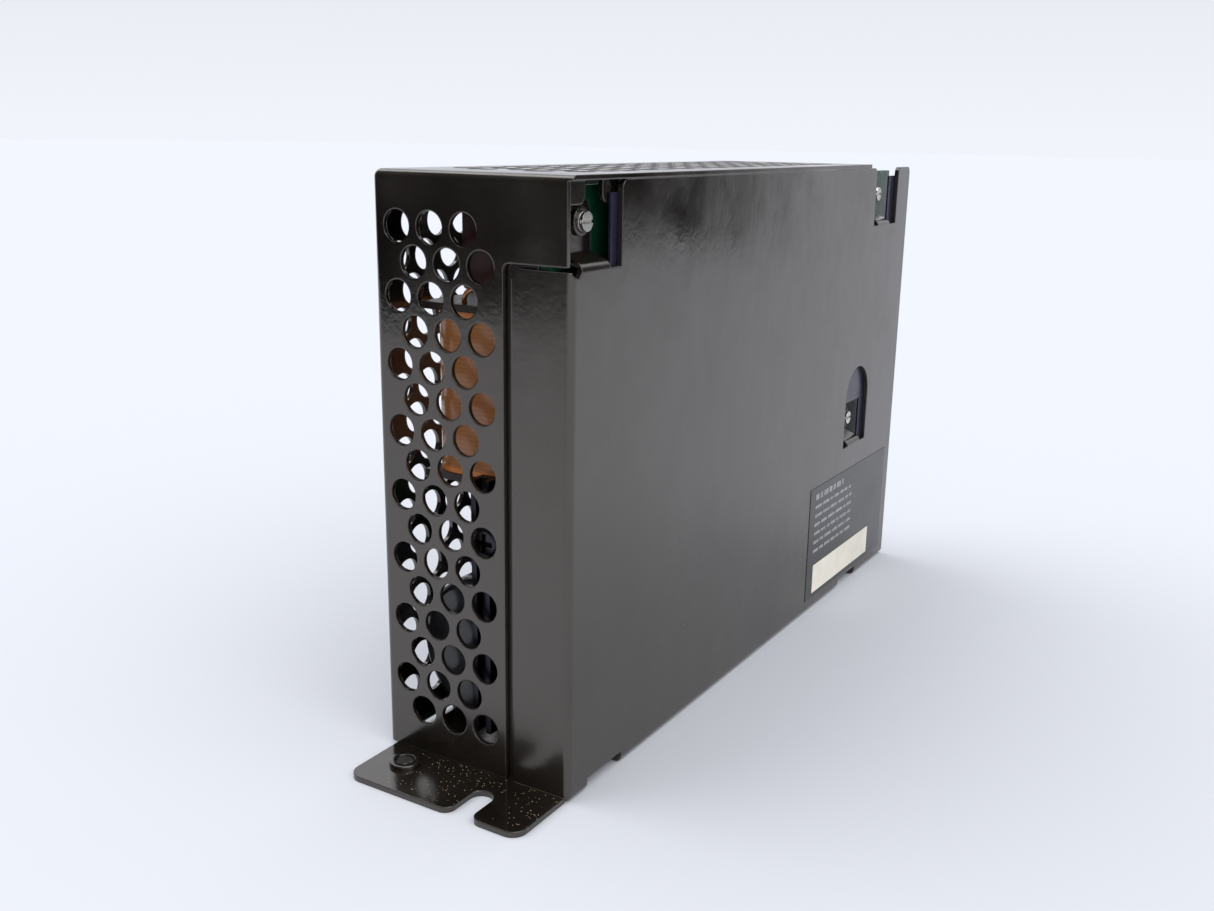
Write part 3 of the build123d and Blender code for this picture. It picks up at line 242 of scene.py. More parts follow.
def piece(name, meshes, body, material, smooth=True):
    """Joins meshes, each with its placing matrix, into one piece that rides on a body."""
    shape = bmesh.new()
    for mesh, matrix in meshes:
        part = bmesh.new()
        part.from_mesh(mesh)
        part.transform(matrix)
        copy = bpy.data.meshes.new("copy")
        part.to_mesh(copy)
        part.free()
        shape.from_mesh(copy)
        bpy.data.meshes.remove(copy)
    bmesh.ops.recalc_face_normals(shape, faces=shape.faces)
    joined = bpy.data.meshes.new(name)
    shape.to_mesh(joined)
    shape.free()
    joined.materials.clear()
    joined.materials.append(material)
    joined.polygons.foreach_set("material_index", [0] * len(joined.polygons))
    joined.polygons.foreach_set("use_smooth", [smooth] * len(joined.polygons))
    made = bpy.data.objects.new(name, joined)
    bpy.context.scene.collection.objects.link(made)
    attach(made, body)
    return made


def thread_tree():
    """A closed ridge wound along Z: radius, height, ridge and number of turns are inputs."""
    tree, start, end = node_tree("screw_thread", ("Radius", "Height", "Ridge"), ("Turns",))
    coil = tree.nodes.new("GeometryNodeCurveSpiral")
    coil.inputs["Resolution"].default_value = 20
    tree.links.new(start.outputs["Turns"], coil.inputs["Rotations"])
    tree.links.new(start.outputs["Radius"], coil.inputs["Start Radius"])
    tree.links.new(start.outputs["Radius"], coil.inputs["End Radius"])
    tree.links.new(start.outputs["Height"], coil.inputs["Height"])
    ridge = tree.nodes.new("GeometryNodeCurvePrimitiveCircle")
    ridge.inputs["Resolution"].default_value = 4
    tree.links.new(start.outputs["Ridge"], ridge.inputs["Radius"])
    skin = tree.nodes.new("GeometryNodeCurveToMesh")
    skin.inputs["Fill Caps"].default_value = True
    tree.links.new(coil.outputs["Curve"], skin.inputs["Curve"])
    tree.links.new(ridge.outputs["Curve"], skin.inputs["Profile Curve"])
    end_tree(tree, start, end, skin.outputs["Mesh"])
    return tree


nickel = metal("nickel_plated_steel", (0.62, 0.59, 0.55), 0.24)
dress("board_screws", nickel)
threads = thread_tree()


def islands(node):
    """The separate solids of a CAD node, as (low corner, high corner) pairs."""
    shape = bmesh.new()
    shape.from_mesh(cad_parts[node].data)
    bmesh.ops.remove_doubles(shape, verts=shape.verts, dist=1e-6)
    left = set(shape.verts)
    found = []
    while left:
        queue = [left.pop()]
        seen = list(queue)
        while queue:
            for edge in queue.pop().link_edges:
                for vert in edge.verts:
                    if vert in left:
                        left.remove(vert)
                        queue.append(vert)
                        seen.append(vert)
        corners = [[f(v.co[i] for v in seen) for i in range(3)] for f in (min, max)]
        found.append((Vector(corners[0]), Vector(corners[1])))
    shape.free()
    return sorted(found, key=lambda pair: tuple(pair[0]))


def along_x(place):
    """The placing that stands a mesh made along Z on a point, turned to lie along X."""
    return Matrix.Translation(place) @ Matrix.Rotation(math.pi / 2, 4, "Y")


M3_RADIUS = 1.5 * MM
RIDGE = 0.12 * MM
SUNK = 0.02 * MM
TIP_SHOWN = 0.9 * MM
RIDGE_END = 0.25 * MM
tips = []
for low, high in islands("board_screws"):
    centre = (low + high) / 2
    start_x = high.x - TIP_SHOWN
    mesh = grow(threads, {"Radius": M3_RADIUS - SUNK, "Height": TIP_SHOWN - RIDGE_END,
                          "Ridge": RIDGE, "Turns": 1}, nickel)
    tips.append((mesh, along_x((start_x, centre.y, centre.z))))
piece("board_screw_threads", tips, "root", nickel)


# Insulating film: dark violet-grey polyester sheet inside the side plate, coloured darker still as
# painted shade for the gap under the plate. It keeps the solder side of the board off the steel and
# is cut out round the tabs.
def plain(name, colour, rough, vary=0.2, scale=120, pores=1800, bump=0.08, edge=0.0, coat=0.0):
    """Plastic, lacquer or moulding: colour drift, uneven gloss and a fine surface."""
    material, tree, shader = new_material(name)
    drift = grain(tree, scale, 3.0, 0.55)
    fine = grain(tree, pores, 2.0, 0.6)
    darker = tuple(value * (1 - vary) for value in colour)
    lighter = tuple(min(1.0, value * (1 + vary)) for value in colour)
    tree.links.new(blend_colours(tree, spread(tree, drift, 0, 1), darker, lighter),
                   shader.inputs["Base Color"])
    tree.links.new(spread(tree, drift, max(0.03, rough - 0.06), rough + 0.06),
                   shader.inputs["Roughness"])
    tree.links.new(relief(tree, fine, bump, 0.0001, edge), shader.inputs["Normal"])
    shader.inputs["Coat Weight"].default_value = coat
    shader.inputs["Coat Roughness"].default_value = 0.1
    shader.inputs["IOR"].default_value = 1.5
    return material


# The film colour is darker than the sheet's own tone: painted shade for where it lies under the
# side plate.
dress("insulating_film", plain("dark_film_with_painted_shade", (0.012, 0.011, 0.028), 0.3, bump=0.03))

# Transformer: ferrite core halves round a moulded bobbin, wound and wrapped in amber tape.
# Margin tape shows at both ends of the coil, and enamelled leads loop over the cheek.
ferrite = plain("sintered_ferrite", (0.02, 0.02, 0.022), 0.42, 0.3, 300, 2600, 0.12)
phenolic = plain("dark_phenolic_moulding", (0.03, 0.021, 0.017), 0.38, 0.25, 200)
dress("transformer_core_lower", ferrite)
dress("transformer_core_upper", ferrite)
dress("transformer_bobbin", phenolic)


def winding_tape():
    """Amber polyester tape that shows the turns of wire under it as faint ribs."""
    material, tree, shader = new_material("amber_winding_tape")
    drift = grain(tree, 90, 3.0, 0.5)
    wires = tree.nodes.new("ShaderNodeTexWave")
    wires.bands_direction = "Z"
    wires.inputs["Scale"].default_value = 420
    wires.inputs["Distortion"].default_value = 0.6
    wires.inputs["Detail"].default_value = 1.0
    place = tree.nodes.new("ShaderNodeTexCoord")
    tree.links.new(place.outputs["Object"], wires.inputs["Vector"])
    amber = blend_colours(tree, spread(tree, drift, 0, 1), (0.30, 0.105, 0.028),
                          (0.44, 0.18, 0.052))
    tree.links.new(blend_colours(tree, spread(tree, wires.outputs["Fac"], 0.0, 0.28, 0.1, 0.9),
                                 amber, (0.2, 0.07, 0.02)), shader.inputs["Base Color"])
    tree.links.new(spread(tree, drift, 0.24, 0.36), shader.inputs["Roughness"])
    tree.links.new(relief(tree, wires.outputs["Fac"], 0.12, 0.00008), shader.inputs["Normal"])
    shader.inputs["Coat Weight"].default_value = 0.3
    return material


amber_tape = winding_tape()
dress("transformer_winding", amber_tape)
margin_yellow = plain("yellow_margin_tape", (0.62, 0.2, 0.045), 0.35, 0.15, 150)
coil_low, coil_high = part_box("transformer_winding")
COIL_CORNER = 5.5 * MM
BAND_HEIGHT = 0.9 * MM
BAND_PROUD = 0.12 * MM
BAND_GAP = 0.05 * MM         # between a margin band and the end of the coil
OVERLAP_AT = 0.46            # where the outer tape ends, up the height of the coil
OVERLAP_HEIGHT = 0.25 * MM
OVERLAP_PROUD = 0.06 * MM


def rounded_loop(low, high, radius, steps=8):
    """Points of a rounded rectangle in the XY plane."""
    points = []
    for centre_x, centre_y, turn in ((high[0] - radius, high[1] - radius, 0),
                                     (low[0] + radius, high[1] - radius, 90),
                                     (low[0] + radius, low[1] + radius, 180),
                                     (high[0] - radius, low[1] + radius, 270)):
        for step in range(steps + 1):
            angle = math.radians(turn + 90 * step / steps)
            points.append((centre_x + radius * math.cos(angle),
                           centre_y + radius * math.sin(angle)))
    return points


def band_mesh(z, height, proud):
    """A closed ring of tape round the coil."""
    outer = rounded_loop((coil_low[0] - proud, coil_low[1] - proud),
                         (coil_high[0] + proud, coil_high[1] + proud), COIL_CORNER + proud)
    inner = rounded_loop((coil_low[0] + proud, coil_low[1] + proud),
                         (coil_high[0] - proud, coil_high[1] - proud), COIL_CORNER - proud)
    shape = bmesh.new()
    rings = [[shape.verts.new((x, y, level)) for x, y in loop]
             for loop, level in ((outer, z), (outer, z + height), (inner, z + height), (inner, z))]
    count = len(outer)
    for first in range(4):
        second = (first + 1) % 4
        for i in range(count):
            j = (i + 1) % count
            shape.faces.new((rings[first][i], rings[first][j], rings[second][j], rings[second][i]))
    mesh = bpy.data.meshes.new("band")
    shape.to_mesh(mesh)
    shape.free()
    return mesh


still = Matrix.Identity(4)
piece("transformer_margin_tape",
      [(band_mesh(z, BAND_HEIGHT, BAND_PROUD), still)
       for z in (coil_low[2] + BAND_GAP, coil_high[2] - BAND_HEIGHT - BAND_GAP)],
      "root", margin_yellow, smooth=False)
overlap_z = coil_low[2] + OVERLAP_AT * (coil_high[2] - coil_low[2])
piece("transformer_tape_overlap", [(band_mesh(overlap_z, OVERLAP_HEIGHT, OVERLAP_PROUD), still)],
      "root", amber_tape, smooth=False)


def tube(name, runs, radius, body, material):
    """Round wires along smooth curves through the given points, as one closed mesh."""
    curve = bpy.data.curves.new(name, "CURVE")
    curve.dimensions = "3D"
    curve.bevel_depth = radius
    curve.bevel_resolution = 2
    curve.use_fill_caps = True
    curve.resolution_u = 8
    for points in runs:
        spline = curve.splines.new("NURBS")
        spline.points.add(len(points) - 1)
        for point, place in zip(spline.points, points):
            point.co = (*place, 1.0)
        spline.order_u = 3
        spline.use_endpoint_u = True
    host = bpy.data.objects.new(name, curve)
    bpy.context.scene.collection.objects.link(host)
    graph = bpy.context.evaluated_depsgraph_get()
    mesh = bpy.data.meshes.new_from_object(host.evaluated_get(graph))
    bpy.data.objects.remove(host)
    return piece(name, [(mesh, still)], body, material)


def enamelled_wire(name, colour):
    """Copper wire under clear enamel."""
    material, tree, shader = new_material(name)
    drift = grain(tree, 400, 2.0, 0.5)
    darker = tuple(value * 0.75 for value in colour)
    tree.links.new(blend_colours(tree, spread(tree, drift, 0, 1), darker, colour),
                   shader.inputs["Base Color"])
    tree.links.new(spread(tree, drift, 0.22, 0.34), shader.inputs["Roughness"])
    shader.inputs["Metallic"].default_value = 0.85
    shader.inputs["Coat Weight"].default_value = 0.6
    return material


copper = enamelled_wire("enamelled_copper_wire", (0.75, 0.3, 0.12))
LEAD_RUN = ((0, 1.6, -0.4), (0, 0.4, 1.8), (1.5, 0, 3.6), (4.0, 0.5, 4.2), (6.5, 1.5, 2.0))
LEAD_RADIUS = 0.45 * MM
leads = []
for step, x in enumerate((0.30, 0.42, 0.58, 0.70)):
    lead_x = coil_low[0] + x * (coil_high[0] - coil_low[0])
    front = coil_low[1] + (0.4 + 0.5 * step) * MM
    top = coil_high[2]
    leads.append([(lead_x + across * MM, front + back * MM, top + rise * MM)
                  for across, back, rise in LEAD_RUN])
tube("transformer_leads", leads, LEAD_RADIUS, "root", copper)

# Bulk capacitor: a large aluminium can in black shrink sleeve. It lies along the case, held to
# the board by a moulded holder at its lead end.
black_sleeve = plain("black_shrink_sleeve", (0.011, 0.011, 0.014), 0.24, 0.3, 80, 1200, 0.04,
                     coat=0.3)
black_moulding = plain("black_glass_filled_moulding", (0.014, 0.014, 0.014), 0.45, 0.25, 150, 2400,
                       0.16, 0.00015)
dress("bulk_capacitor", black_sleeve)
dress("bulk_capacitor_holder", black_moulding)

# Heat sinks: extruded, black-anodised aluminium plates with ribs, soldered to the board by pins.
# Two moulded power devices are screwed flat to them; the other packages stand on the board.
anodised = metal("black_anodised_aluminium", (0.035, 0.036, 0.046), 0.36, (1, 1, 0.05),
                 (0.02, 0.02, 0.024))
epoxy = plain("black_moulding_compound", (0.016, 0.016, 0.017), 0.5, 0.2, 300, 3000, 0.14)
dress("output_heat_sink", anodised)
dress("switch_heat_sink", anodised)
dress("output_diode", epoxy)
dress("switch_transistor", epoxy)
dress("output_diode_screw", black_screw)
dress("switch_transistor_screw", nickel)
dress("bridge_rectifier", epoxy)
dress("control_ic", epoxy)
dress("optocouplers", epoxy)

# Film capacitor: a wound film block dipped in dark maroon epoxy, near the top of the board.
# It stands off the board on two leads.
maroon_dip = plain("maroon_dipped_epoxy", (0.03, 0.008, 0.006), 0.3, 0.25, 120, 1500, 0.06,
                   coat=0.4)
dress("film_capacitor", maroon_dip)

# Output and auxiliary capacitors: small cans in dark sleeve that stand on the board. The sleeve
# is open at the vent end, where bare aluminium shows.
dark_sleeve = plain("dark_brown_sleeve", (0.03, 0.017, 0.014), 0.28, 0.25, 120, 1500, 0.04,
                    coat=0.3)
bare_aluminium = metal("bare_can_aluminium", (0.7, 0.7, 0.71), 0.3)
dress("output_capacitors", dark_sleeve)
dress("auxiliary_capacitor", dark_sleeve)


def disc_tree():
    """A thin round disc: radius and thickness are inputs."""
    tree, start, end = node_tree("can_top", ("Radius", "Thickness"))
    disc = tree.nodes.new("GeometryNodeMeshCylinder")
    disc.inputs["Vertices"].default_value = 28
    tree.links.new(start.outputs["Radius"], disc.inputs["Radius"])
    tree.links.new(start.outputs["Thickness"], disc.inputs["Depth"])
    end_tree(tree, start, end, disc.outputs["Mesh"])
    return tree


TOP_INSET = 0.8 * MM
TOP_THICK = 0.1 * MM
TOP_SUNK = 0.06 * MM
can_tops = []
tops_tree = disc_tree()
for node in ("output_capacitors", "auxiliary_capacitor"):
    for low, high in islands(node):
        centre = (low + high) / 2
        radius = (high.y - low.y) / 2 - TOP_INSET
        mesh = grow(tops_tree, {"Radius": radius, "Thickness": TOP_THICK}, bare_aluminium)
        can_tops.append((mesh, along_x((low.x + TOP_SUNK, centre.y, centre.z))))
piece("capacitor_can_tops", can_tops, "root", bare_aluminium, smooth=False)


# Chokes: ring cores wound with enamelled copper wire, every turn a loop of wire round the ring.
# The output choke is wound all round, the line choke in two halves on a moulded ring.
def winding_tree():
    """Loops of wire round a ring about X: ring radius, loop sizes, wire and turns are inputs."""
    numbers = ("Ring", "Loop wide", "Loop high", "Wire", "Sweep")
    tree, start, end = node_tree("ring_winding", numbers, ("Turns",))
    line = tree.nodes.new("GeometryNodeMeshLine")
    line.mode = "OFFSET"
    tree.links.new(start.outputs["Turns"], line.inputs["Count"])
    line.inputs["Offset"].default_value = (0, 0, 0)
    index = tree.nodes.new("GeometryNodeInputIndex")
    share = tree.nodes.new("ShaderNodeMath")
    share.operation = "DIVIDE"
    tree.links.new(index.outputs[0], share.inputs[0])
    tree.links.new(start.outputs["Turns"], share.inputs[1])
    angle = tree.nodes.new("ShaderNodeMath")
    angle.operation = "MULTIPLY"
    tree.links.new(share.outputs[0], angle.inputs[0])
    tree.links.new(start.outputs["Sweep"], angle.inputs[1])
    turn = tree.nodes.new("ShaderNodeCombineXYZ")
    tree.links.new(angle.outputs[0], turn.inputs["X"])
    loop = tree.nodes.new("GeometryNodeCurvePrimitiveQuadrilateral")
    tree.links.new(start.outputs["Loop wide"], loop.inputs["Width"])
    tree.links.new(start.outputs["Loop high"], loop.inputs["Height"])
    soft = tree.nodes.new("GeometryNodeFilletCurve")
    soft.mode = "POLY"
    soft.inputs["Count"].default_value = 4
    soft.inputs["Radius"].default_value = 1.6 * MM
    tree.links.new(loop.outputs["Curve"], soft.inputs["Curve"])
    wire = tree.nodes.new("GeometryNodeCurvePrimitiveCircle")
    wire.inputs["Resolution"].default_value = 8
    tree.links.new(start.outputs["Wire"], wire.inputs["Radius"])
    skin = tree.nodes.new("GeometryNodeCurveToMesh")
    tree.links.new(soft.outputs["Curve"], skin.inputs["Curve"])
    tree.links.new(wire.outputs["Curve"], skin.inputs["Profile Curve"])
    away = tree.nodes.new("GeometryNodeTransform")
    offset = tree.nodes.new("ShaderNodeCombineXYZ")
    tree.links.new(start.outputs["Ring"], offset.inputs["Y"])
    tree.links.new(skin.outputs["Mesh"], away.inputs["Geometry"])
    tree.links.new(offset.outputs[0], away.inputs["Translation"])
    copies = tree.nodes.new("GeometryNodeInstanceOnPoints")
    tree.links.new(line.outputs["Mesh"], copies.inputs["Points"])
    tree.links.new(away.outputs["Geometry"], copies.inputs["Instance"])
    tree.links.new(turn.outputs[0], copies.inputs["Rotation"])
    end_tree(tree, start, end, copies.outputs["Instances"])
    return tree


WIRE_SLACK = 0.3 * MM
wound = winding_tree()
dress("output_choke_core", ferrite)
dress("line_choke_core", phenolic)


def wind(node, core, name, inner, wire, spans):
    """Real turns in place of a plain winding, round the ring of its core."""
    low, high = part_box(core)
    centre = (Vector(low) + Vector(high)) / 2
    outer = (high[1] - low[1]) / 2
    ring = (outer + inner) / 2
    loop_high = outer - inner + 2 * wire + WIRE_SLACK
    loop_wide = high[0] - low[0] + 2 * wire + WIRE_SLACK
    meshes = []
    for begin, sweep, turns in spans:
        mesh = grow(wound, {"Ring": ring, "Loop wide": loop_wide, "Loop high": loop_high,
                            "Wire": wire, "Sweep": math.radians(sweep), "Turns": turns}, copper)
        turned = Matrix.Rotation(math.radians(begin), 4, "X")
        meshes.append((mesh, Matrix.Translation(centre) @ turned))
    made = piece(name, meshes, "root", copper)
    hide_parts(node)


wind("output_choke_winding", "output_choke_core", "output_choke_turns", 6.2 * MM, 0.6 * MM,
     [(0, 360, 30)])
wind("line_choke_windings", "line_choke_core", "line_choke_turns", 5.5 * MM, 0.5 * MM,
     [(-65, 130, 12), (115, 130, 12)])

# Mains side parts: a yellow moulded interference capacitor flat on the board, and dipped discs on
# two leads each: two blue safety capacitors, a blue varistor and a dark green thermistor.
yellow_case = plain("yellow_moulded_case", (0.55, 0.36, 0.06), 0.4, 0.12, 120, 1800, 0.06)
dress("interference_capacitor", yellow_case)
blue_dip = plain("blue_dipped_epoxy", (0.02, 0.09, 0.3), 0.24, 0.2, 200, 1500, 0.05, coat=0.4)
dress("safety_capacitors", blue_dip)
dress("varistor", blue_dip)
dress("thermistor", plain("dark_green_dip", (0.02, 0.05, 0.032), 0.45, 0.25, 200))


# Power resistors: ceramic rods in grey-blue lacquer with plain brown rings, held off the board
# on bent leads.
def banded_lacquer():
    """Grey-blue lacquer with evenly spaced brown rings."""
    material, tree, shader = new_material("resistor_lacquer")
    place = tree.nodes.new("ShaderNodeTexCoord")
    bands = tree.nodes.new("ShaderNodeTexWave")
    bands.bands_direction = "Y"
    bands.inputs["Scale"].default_value = 130
    tree.links.new(place.outputs["Object"], bands.inputs["Vector"])
    drift = grain(tree, 200)
    base = blend_colours(tree, spread(tree, drift, 0, 1), (0.09, 0.15, 0.19), (0.13, 0.2, 0.25))
    ring = spread(tree, bands.outputs["Fac"], 0, 1, 0.82, 0.86)
    tree.links.new(blend_colours(tree, ring, base, (0.25, 0.08, 0.03)), shader.inputs["Base Color"])
    tree.links.new(spread(tree, drift, 0.25, 0.35), shader.inputs["Roughness"])
    return material


dress("power_resistors", banded_lacquer())


# Fuse: a glass tube with nickel-plated caps and a fine wire inside. Two sprung clips of tinned
# brass, soldered to the board, grip its caps.
def clear_glass():
    """Clear tube glass."""
    material, tree, shader = new_material("fuse_glass")
    drift = grain(tree, 300)
    tree.links.new(spread(tree, drift, 0.02, 0.06), shader.inputs["Roughness"])
    tree.links.new(blend_colours(tree, drift, (0.86, 0.92, 0.92), (0.94, 0.97, 0.97)),
                   shader.inputs["Base Color"])
    shader.inputs["Transmission Weight"].default_value = 1.0
    shader.inputs["IOR"].default_value = 1.5
    return material


tin = metal("tin_plated_brass", (0.66, 0.62, 0.52), 0.3)
cap_nickel = metal("nickel_cap", (0.7, 0.68, 0.63), 0.22)
dress("fuse_tube", clear_glass())
dress("fuse_caps", cap_nickel)
dress("fuse_clips", tin)
low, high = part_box("fuse_tube")
middle = (Vector(low) + Vector(high)) / 2
FUSE_WIRE_RADIUS = 0.12 * MM
FUSE_WIRE_END = 0.4 * MM
FUSE_WIRE_BOW = 0.2 * MM
tube("fuse_wire", [[(middle.x, middle.y, low[2] + FUSE_WIRE_END),
                    (middle.x + FUSE_WIRE_BOW, middle.y, middle.z),
                    (middle.x, middle.y, high[2] - FUSE_WIRE_END)]],
     FUSE_WIRE_RADIUS, "root", tin)

# Terminals: a black moulded barrier block on the board, with tapped, tin-plated contact plates.
# Each M3.5 screw carries a square clamp washer that rises with it.
TERMINALS = 5
dress("terminal_block", black_moulding)
dress("terminal_contacts", tin)
for number in range(1, TERMINALS + 1):
    dress(f"terminal_clamp_{number}", cap_nickel)
    dress(f"terminal_screw_{number}", nickel)

# Output voltage trimmer: a blue moulded housing with a white rotor, turned by its cross slot.
# Under it the status lamp, a diffused green lens on two leads.
dress("voltage_trimmer_body", plain("blue_trimmer_housing", (0.015, 0.06, 0.24), 0.35, 0.15, 200))
dress("voltage_trimmer_rotor", plain("white_trimmer_rotor", (0.7, 0.7, 0.66), 0.4, 0.08, 300))


def lamp_lens():
    """Diffused green resin."""
    material, tree, shader = new_material("green_lamp_lens")
    drift = grain(tree, 500)
    tree.links.new(blend_colours(tree, drift, (0.06, 0.4, 0.1), (0.12, 0.55, 0.18)),
                   shader.inputs["Base Color"])
    tree.links.new(spread(tree, drift, 0.12, 0.2), shader.inputs["Roughness"])
    shader.inputs["Subsurface Weight"].default_value = 0.3
    shader.inputs["Subsurface Radius"].default_value = (0.001, 0.002, 0.001)
    return material


dress("status_led", lamp_lens())


# Rating label: dark self-adhesive film on the side plate. Its print is plain pale rules that
# spell nothing, and a cream write-on panel is stuck over its foot.
def label_film():
    """Dark printed film, a little smoother than the enamel."""
    material, tree, shader = new_material("dark_label_film")
    drift = grain(tree, 60, 3.0, 0.5)
    fine = grain(tree, 2400)
    tree.links.new(blend_colours(tree, spread(tree, drift, 0, 1), (0.012, 0.011, 0.0105),
                                 (0.022, 0.02, 0.019)), shader.inputs["Base Color"])
    tree.links.new(spread(tree, drift, 0.2, 0.34), shader.inputs["Roughness"])
    tree.links.new(relief(tree, fine, 0.04, 0.00005), shader.inputs["Normal"])
    return material


dress("rating_label", label_film())
dress("serial_label", plain("cream_write_on_panel", (0.74, 0.7, 0.6), 0.55, 0.1, 90, 2000, 0.06))
print_grey = plain("pale_label_print", (0.26, 0.26, 0.27), 0.5, 0.3, 400)
low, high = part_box("rating_label")
RULE_DEEP = 0.03 * MM
LINE_STEP = 2.1 * MM
LABEL_EDGE = 3.0 * MM
PANEL_TOP = 10.0 * MM
RULE_GAP = 0.7 * MM
HEADING = (20.0 * MM, 1.3 * MM)      # reach and height of the first line
BODY_LINE = (26.0 * MM, 0.7 * MM)
rules = []
random.seed(4)
line_z = high[2] - LABEL_EDGE
row = 0
while line_z > low[2] + PANEL_TOP:
    reach, height = BODY_LINE if row else HEADING
    y = low[1] + LABEL_EDGE
    stop = low[1] + reach
    while y < stop:
        width = random.uniform(1.2, 4.5) * MM
        rules.append((y, min(y + width, stop), line_z, height))
        y += width + RULE_GAP
    line_z -= LINE_STEP
    row += 1


def slab(x, y, z):
    """A box mesh from three (low, high) pairs."""
    shape = bmesh.new()
    bmesh.ops.create_cube(shape, size=1.0)
    for vert in shape.verts:
        for axis, pair in enumerate((x, y, z)):
            vert.co[axis] = pair[0] if vert.co[axis] < 0 else pair[1]
    mesh = bpy.data.meshes.new("slab")
    shape.to_mesh(mesh)
    shape.free()
    return mesh


print_x = (high[0] - 0.01 * MM, high[0] + RULE_DEEP)
piece("label_print_rules",
      [(slab(print_x, (y, end), (z, z + height)), still) for y, end, z, height in rules],
      "root", print_grey, smooth=False)


# Workshop dust: tan specks that have settled and stuck on the mounting flange, outside the case.
# They lie on its upper face, clear of the slot.
def dust_tree():
    """Flakes scattered over a face: density, flake size and seed are inputs."""
    tree, start, end = node_tree("dust_flakes", ("Density", "Flake"), ("Seed",))
    scatter = tree.nodes.new("GeometryNodeDistributePointsOnFaces")
    tree.links.new(start.outputs["Geometry"], scatter.inputs["Mesh"])
    tree.links.new(start.outputs["Density"], scatter.inputs["Density"])
    tree.links.new(start.outputs["Seed"], scatter.inputs["Seed"])
    flake = tree.nodes.new("GeometryNodeMeshIcoSphere")
    flake.inputs["Subdivisions"].default_value = 1
    tree.links.new(start.outputs["Flake"], flake.inputs["Radius"])
    size = tree.nodes.new("FunctionNodeRandomValue")
    size.data_type = "FLOAT_VECTOR"
    size.inputs[0].default_value = (0.3, 0.3, 0.2)
    size.inputs[1].default_value = (1.2, 1.2, 0.5)
    tree.links.new(start.outputs["Seed"], size.inputs["Seed"])
    copies = tree.nodes.new("GeometryNodeInstanceOnPoints")
    tree.links.new(scatter.outputs["Points"], copies.inputs["Points"])
    tree.links.new(flake.outputs["Mesh"], copies.inputs["Instance"])
    tree.links.new(size.outputs[0], copies.inputs["Scale"])
    end_tree(tree, start, end, copies.outputs["Instances"])
    return tree


low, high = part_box("chassis")
FLANGE_REACH = 13.0 * MM
SHEET = 1.0 * MM
EDGE_CLEAR = 1.2 * MM
CASE_CLEAR = 0.4 * MM
SLOT_DEEP = 8.6 * MM
DUSTY = (6.6, 35.6)          # left and right ends of the dusty strip, in mm from the left side
SLOT = (22.4, 29.0)          # left and right sides of the slot, with its margin
DENSITY = 620000.0           # flakes to the square metre
FLAKE = 0.085 * MM
patch = bpy.data.meshes.new("patch")
near, far = low[1] + EDGE_CLEAR, low[1] + FLANGE_REACH - CASE_CLEAR
behind_slot = low[1] + SLOT_DEEP
spans = ((DUSTY[0], SLOT[0], near), (SLOT[0], SLOT[1], behind_slot), (SLOT[1], DUSTY[1], near))
corners = []
for left, right, front in spans:
    left, right = low[0] + left * MM, low[0] + right * MM
    corners += [(left, front, SHEET), (right, front, SHEET),
                (right, far, SHEET), (left, far, SHEET)]
patch.from_pydata(corners, [], [tuple(range(4 * i, 4 * i + 4)) for i in range(len(spans))])
tan_dust = plain("tan_dust", (0.5, 0.38, 0.2), 0.8, 0.3, 900)
flakes = grow(dust_tree(), {"Density": DENSITY, "Flake": FLAKE, "Seed": 7}, tan_dust, patch)
piece("flange_dust", [(flakes, still)], "root", tan_dust, smooth=False)

# Studio: a wide pale floor under a soft dome of light, two very wide lamps from left and right,
# and two black cards that only the glossy enamel reflects.
FLOOR_REACH = 9.0
FLOOR_GREY = (0.553, 0.564, 0.592, 1)
mesh = bpy.data.meshes.new("stage_floor")
corners = [(-FLOOR_REACH, -FLOOR_REACH), (FLOOR_REACH, -FLOOR_REACH),
           (FLOOR_REACH, FLOOR_REACH), (-FLOOR_REACH, FLOOR_REACH)]
mesh.from_pydata([(x, y, 0.0) for x, y in corners], [], [(0, 1, 2, 3)])
floor = bpy.data.objects.new("stage_floor", mesh)
bpy.context.scene.collection.objects.link(floor)
stage_white, tree, shader = new_material("stage_white")
shader.inputs["Base Color"].default_value = FLOOR_GREY
shader.inputs["Roughness"].default_value = 0.95
shader.inputs["Specular IOR Level"].default_value = 0.0
mesh.materials.append(stage_white)

world = bpy.data.worlds.new("studio")
world.use_nodes = True
tree = world.node_tree
sky = tree.nodes["Background"]
place = tree.nodes.new("ShaderNodeTexCoord")
facing = tree.nodes.new("ShaderNodeVectorMath")
facing.operation = "DOT_PRODUCT"
facing.inputs[1].default_value = (-0.5, 0.8, 0.6)
tree.links.new(place.outputs["Generated"], facing.inputs[0])
dome = tree.nodes.new("ShaderNodeValToRGB")
dome.color_ramp.interpolation = "EASE"
DOME = ((0.0, (0.74, 0.755, 0.80)), (0.4, (0.76, 0.775, 0.82)), (0.7, (0.82, 0.84, 0.89)),
        (0.86, (0.86, 0.88, 0.94)), (1.0, (0.86, 0.88, 0.94)))
while len(dome.color_ramp.elements) < len(DOME):
    dome.color_ramp.elements.new(0.5)
for stop, (place_at, shade) in zip(dome.color_ramp.elements, DOME):
    stop.position = place_at
    stop.color = (*shade, 1.0)
tree.links.new(spread(tree, facing.outputs["Value"], 0.0, 1.0, -1.05, 1.05), dome.inputs["Fac"])
tree.links.new(dome.outputs["Color"], sky.inputs["Color"])
height = tree.nodes.new("ShaderNodeSeparateXYZ")
tree.links.new(place.outputs["Generated"], height.inputs[0])
glow = tree.nodes.new("ShaderNodeMath")
glow.operation = "MULTIPLY"
tree.links.new(spread(tree, height.outputs["Z"], 1.03, 0.95, 0.0, 0.11), glow.inputs[0])
tree.links.new(spread(tree, height.outputs["Z"], 1.0, 1.35, 0.14, 0.4), glow.inputs[1])
tree.links.new(glow.outputs[0], sky.inputs["Strength"])
bpy.context.scene.world = world


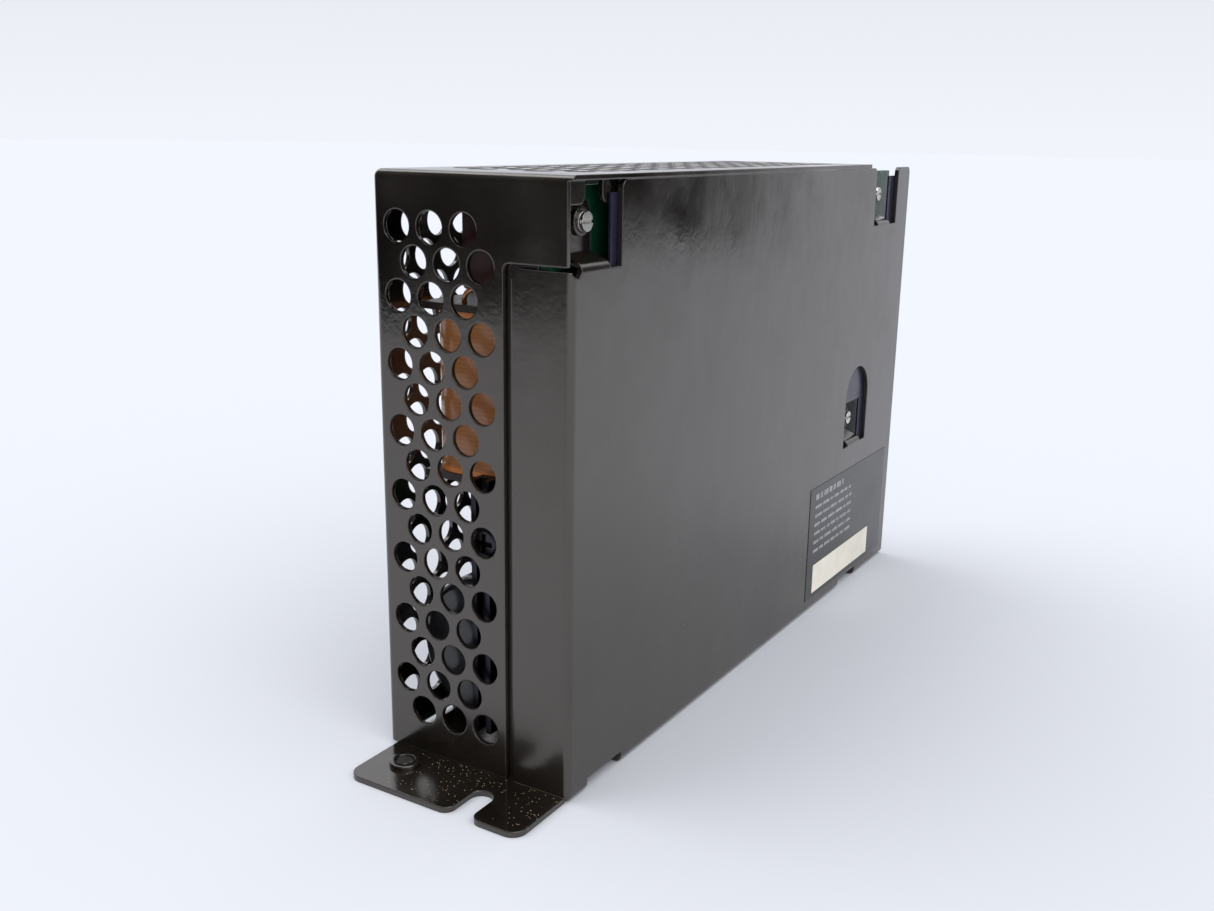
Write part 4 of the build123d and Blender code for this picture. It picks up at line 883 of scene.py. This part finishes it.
def soft_sun(name, aim, width, strength):
    """A very wide, even light from the direction of aim."""
    lamp = bpy.data.lights.new(name, "SUN")
    lamp.angle = math.radians(width)
    lamp.energy = strength
    made = bpy.data.objects.new(name, lamp)
    made.rotation_euler = Vector(aim).to_track_quat("Z", "Y").to_euler()
    bpy.context.scene.collection.objects.link(made)


SUN_WIDTH = 56               # degrees across
SUN_STRENGTH = 1.2
soft_sun("light_from_left", (-0.75, -0.22, 1.0), SUN_WIDTH, SUN_STRENGTH)
soft_sun("light_from_right", (0.8, -0.16, 1.0), SUN_WIDTH, SUN_STRENGTH)


def black_flag(name, left, right, low, high):
    """A dark upright card that only reflections see, between two floor points."""
    card = bpy.data.meshes.new(name)
    corners = [(*left, low), (*right, low), (*right, high), (*left, high)]
    card.from_pydata(corners, [], [(0, 1, 2, 3)])
    flag = bpy.data.objects.new(name, card)
    bpy.context.scene.collection.objects.link(flag)
    dark, _, cloth = new_material(name + "_cloth")
    cloth.inputs["Base Color"].default_value = (0.02, 0.02, 0.02, 1)
    cloth.inputs["Roughness"].default_value = 0.9
    cloth.inputs["Specular IOR Level"].default_value = 0.0
    card.materials.append(dark)
    flag.visible_camera = False
    flag.visible_diffuse = False
    flag.visible_shadow = False
    flag.visible_transmission = False


black_flag("flag_front", (-1.15, -0.05), (0.25, -0.82), 0.0, 1.3)
black_flag("flag_right", (0.31, 0.62), (1.5, 0.3), 0.03, 0.9)
bpy.context.scene.view_settings.view_transform = "Standard"

# Camera: a short lens just above the case, off the corner of the end plate and the side plate.
# It looks slightly down along the case from its flanged end.
LENS = 36.11
VIEWPOINT = (0.11588, -0.21667, 0.10562)
VIEW_ANGLES = (75.237, -0.857, 31.653)
camera = bpy.data.cameras.new("view")
camera.sensor_width = 36.0
camera.lens = LENS
camera.clip_start = 0.01
viewer = bpy.data.objects.new("view", camera)
viewer.location = VIEWPOINT
viewer.rotation_euler = Euler([math.radians(angle) for angle in VIEW_ANGLES], "XYZ")
bpy.context.scene.collection.objects.link(viewer)
bpy.context.scene.camera = viewer
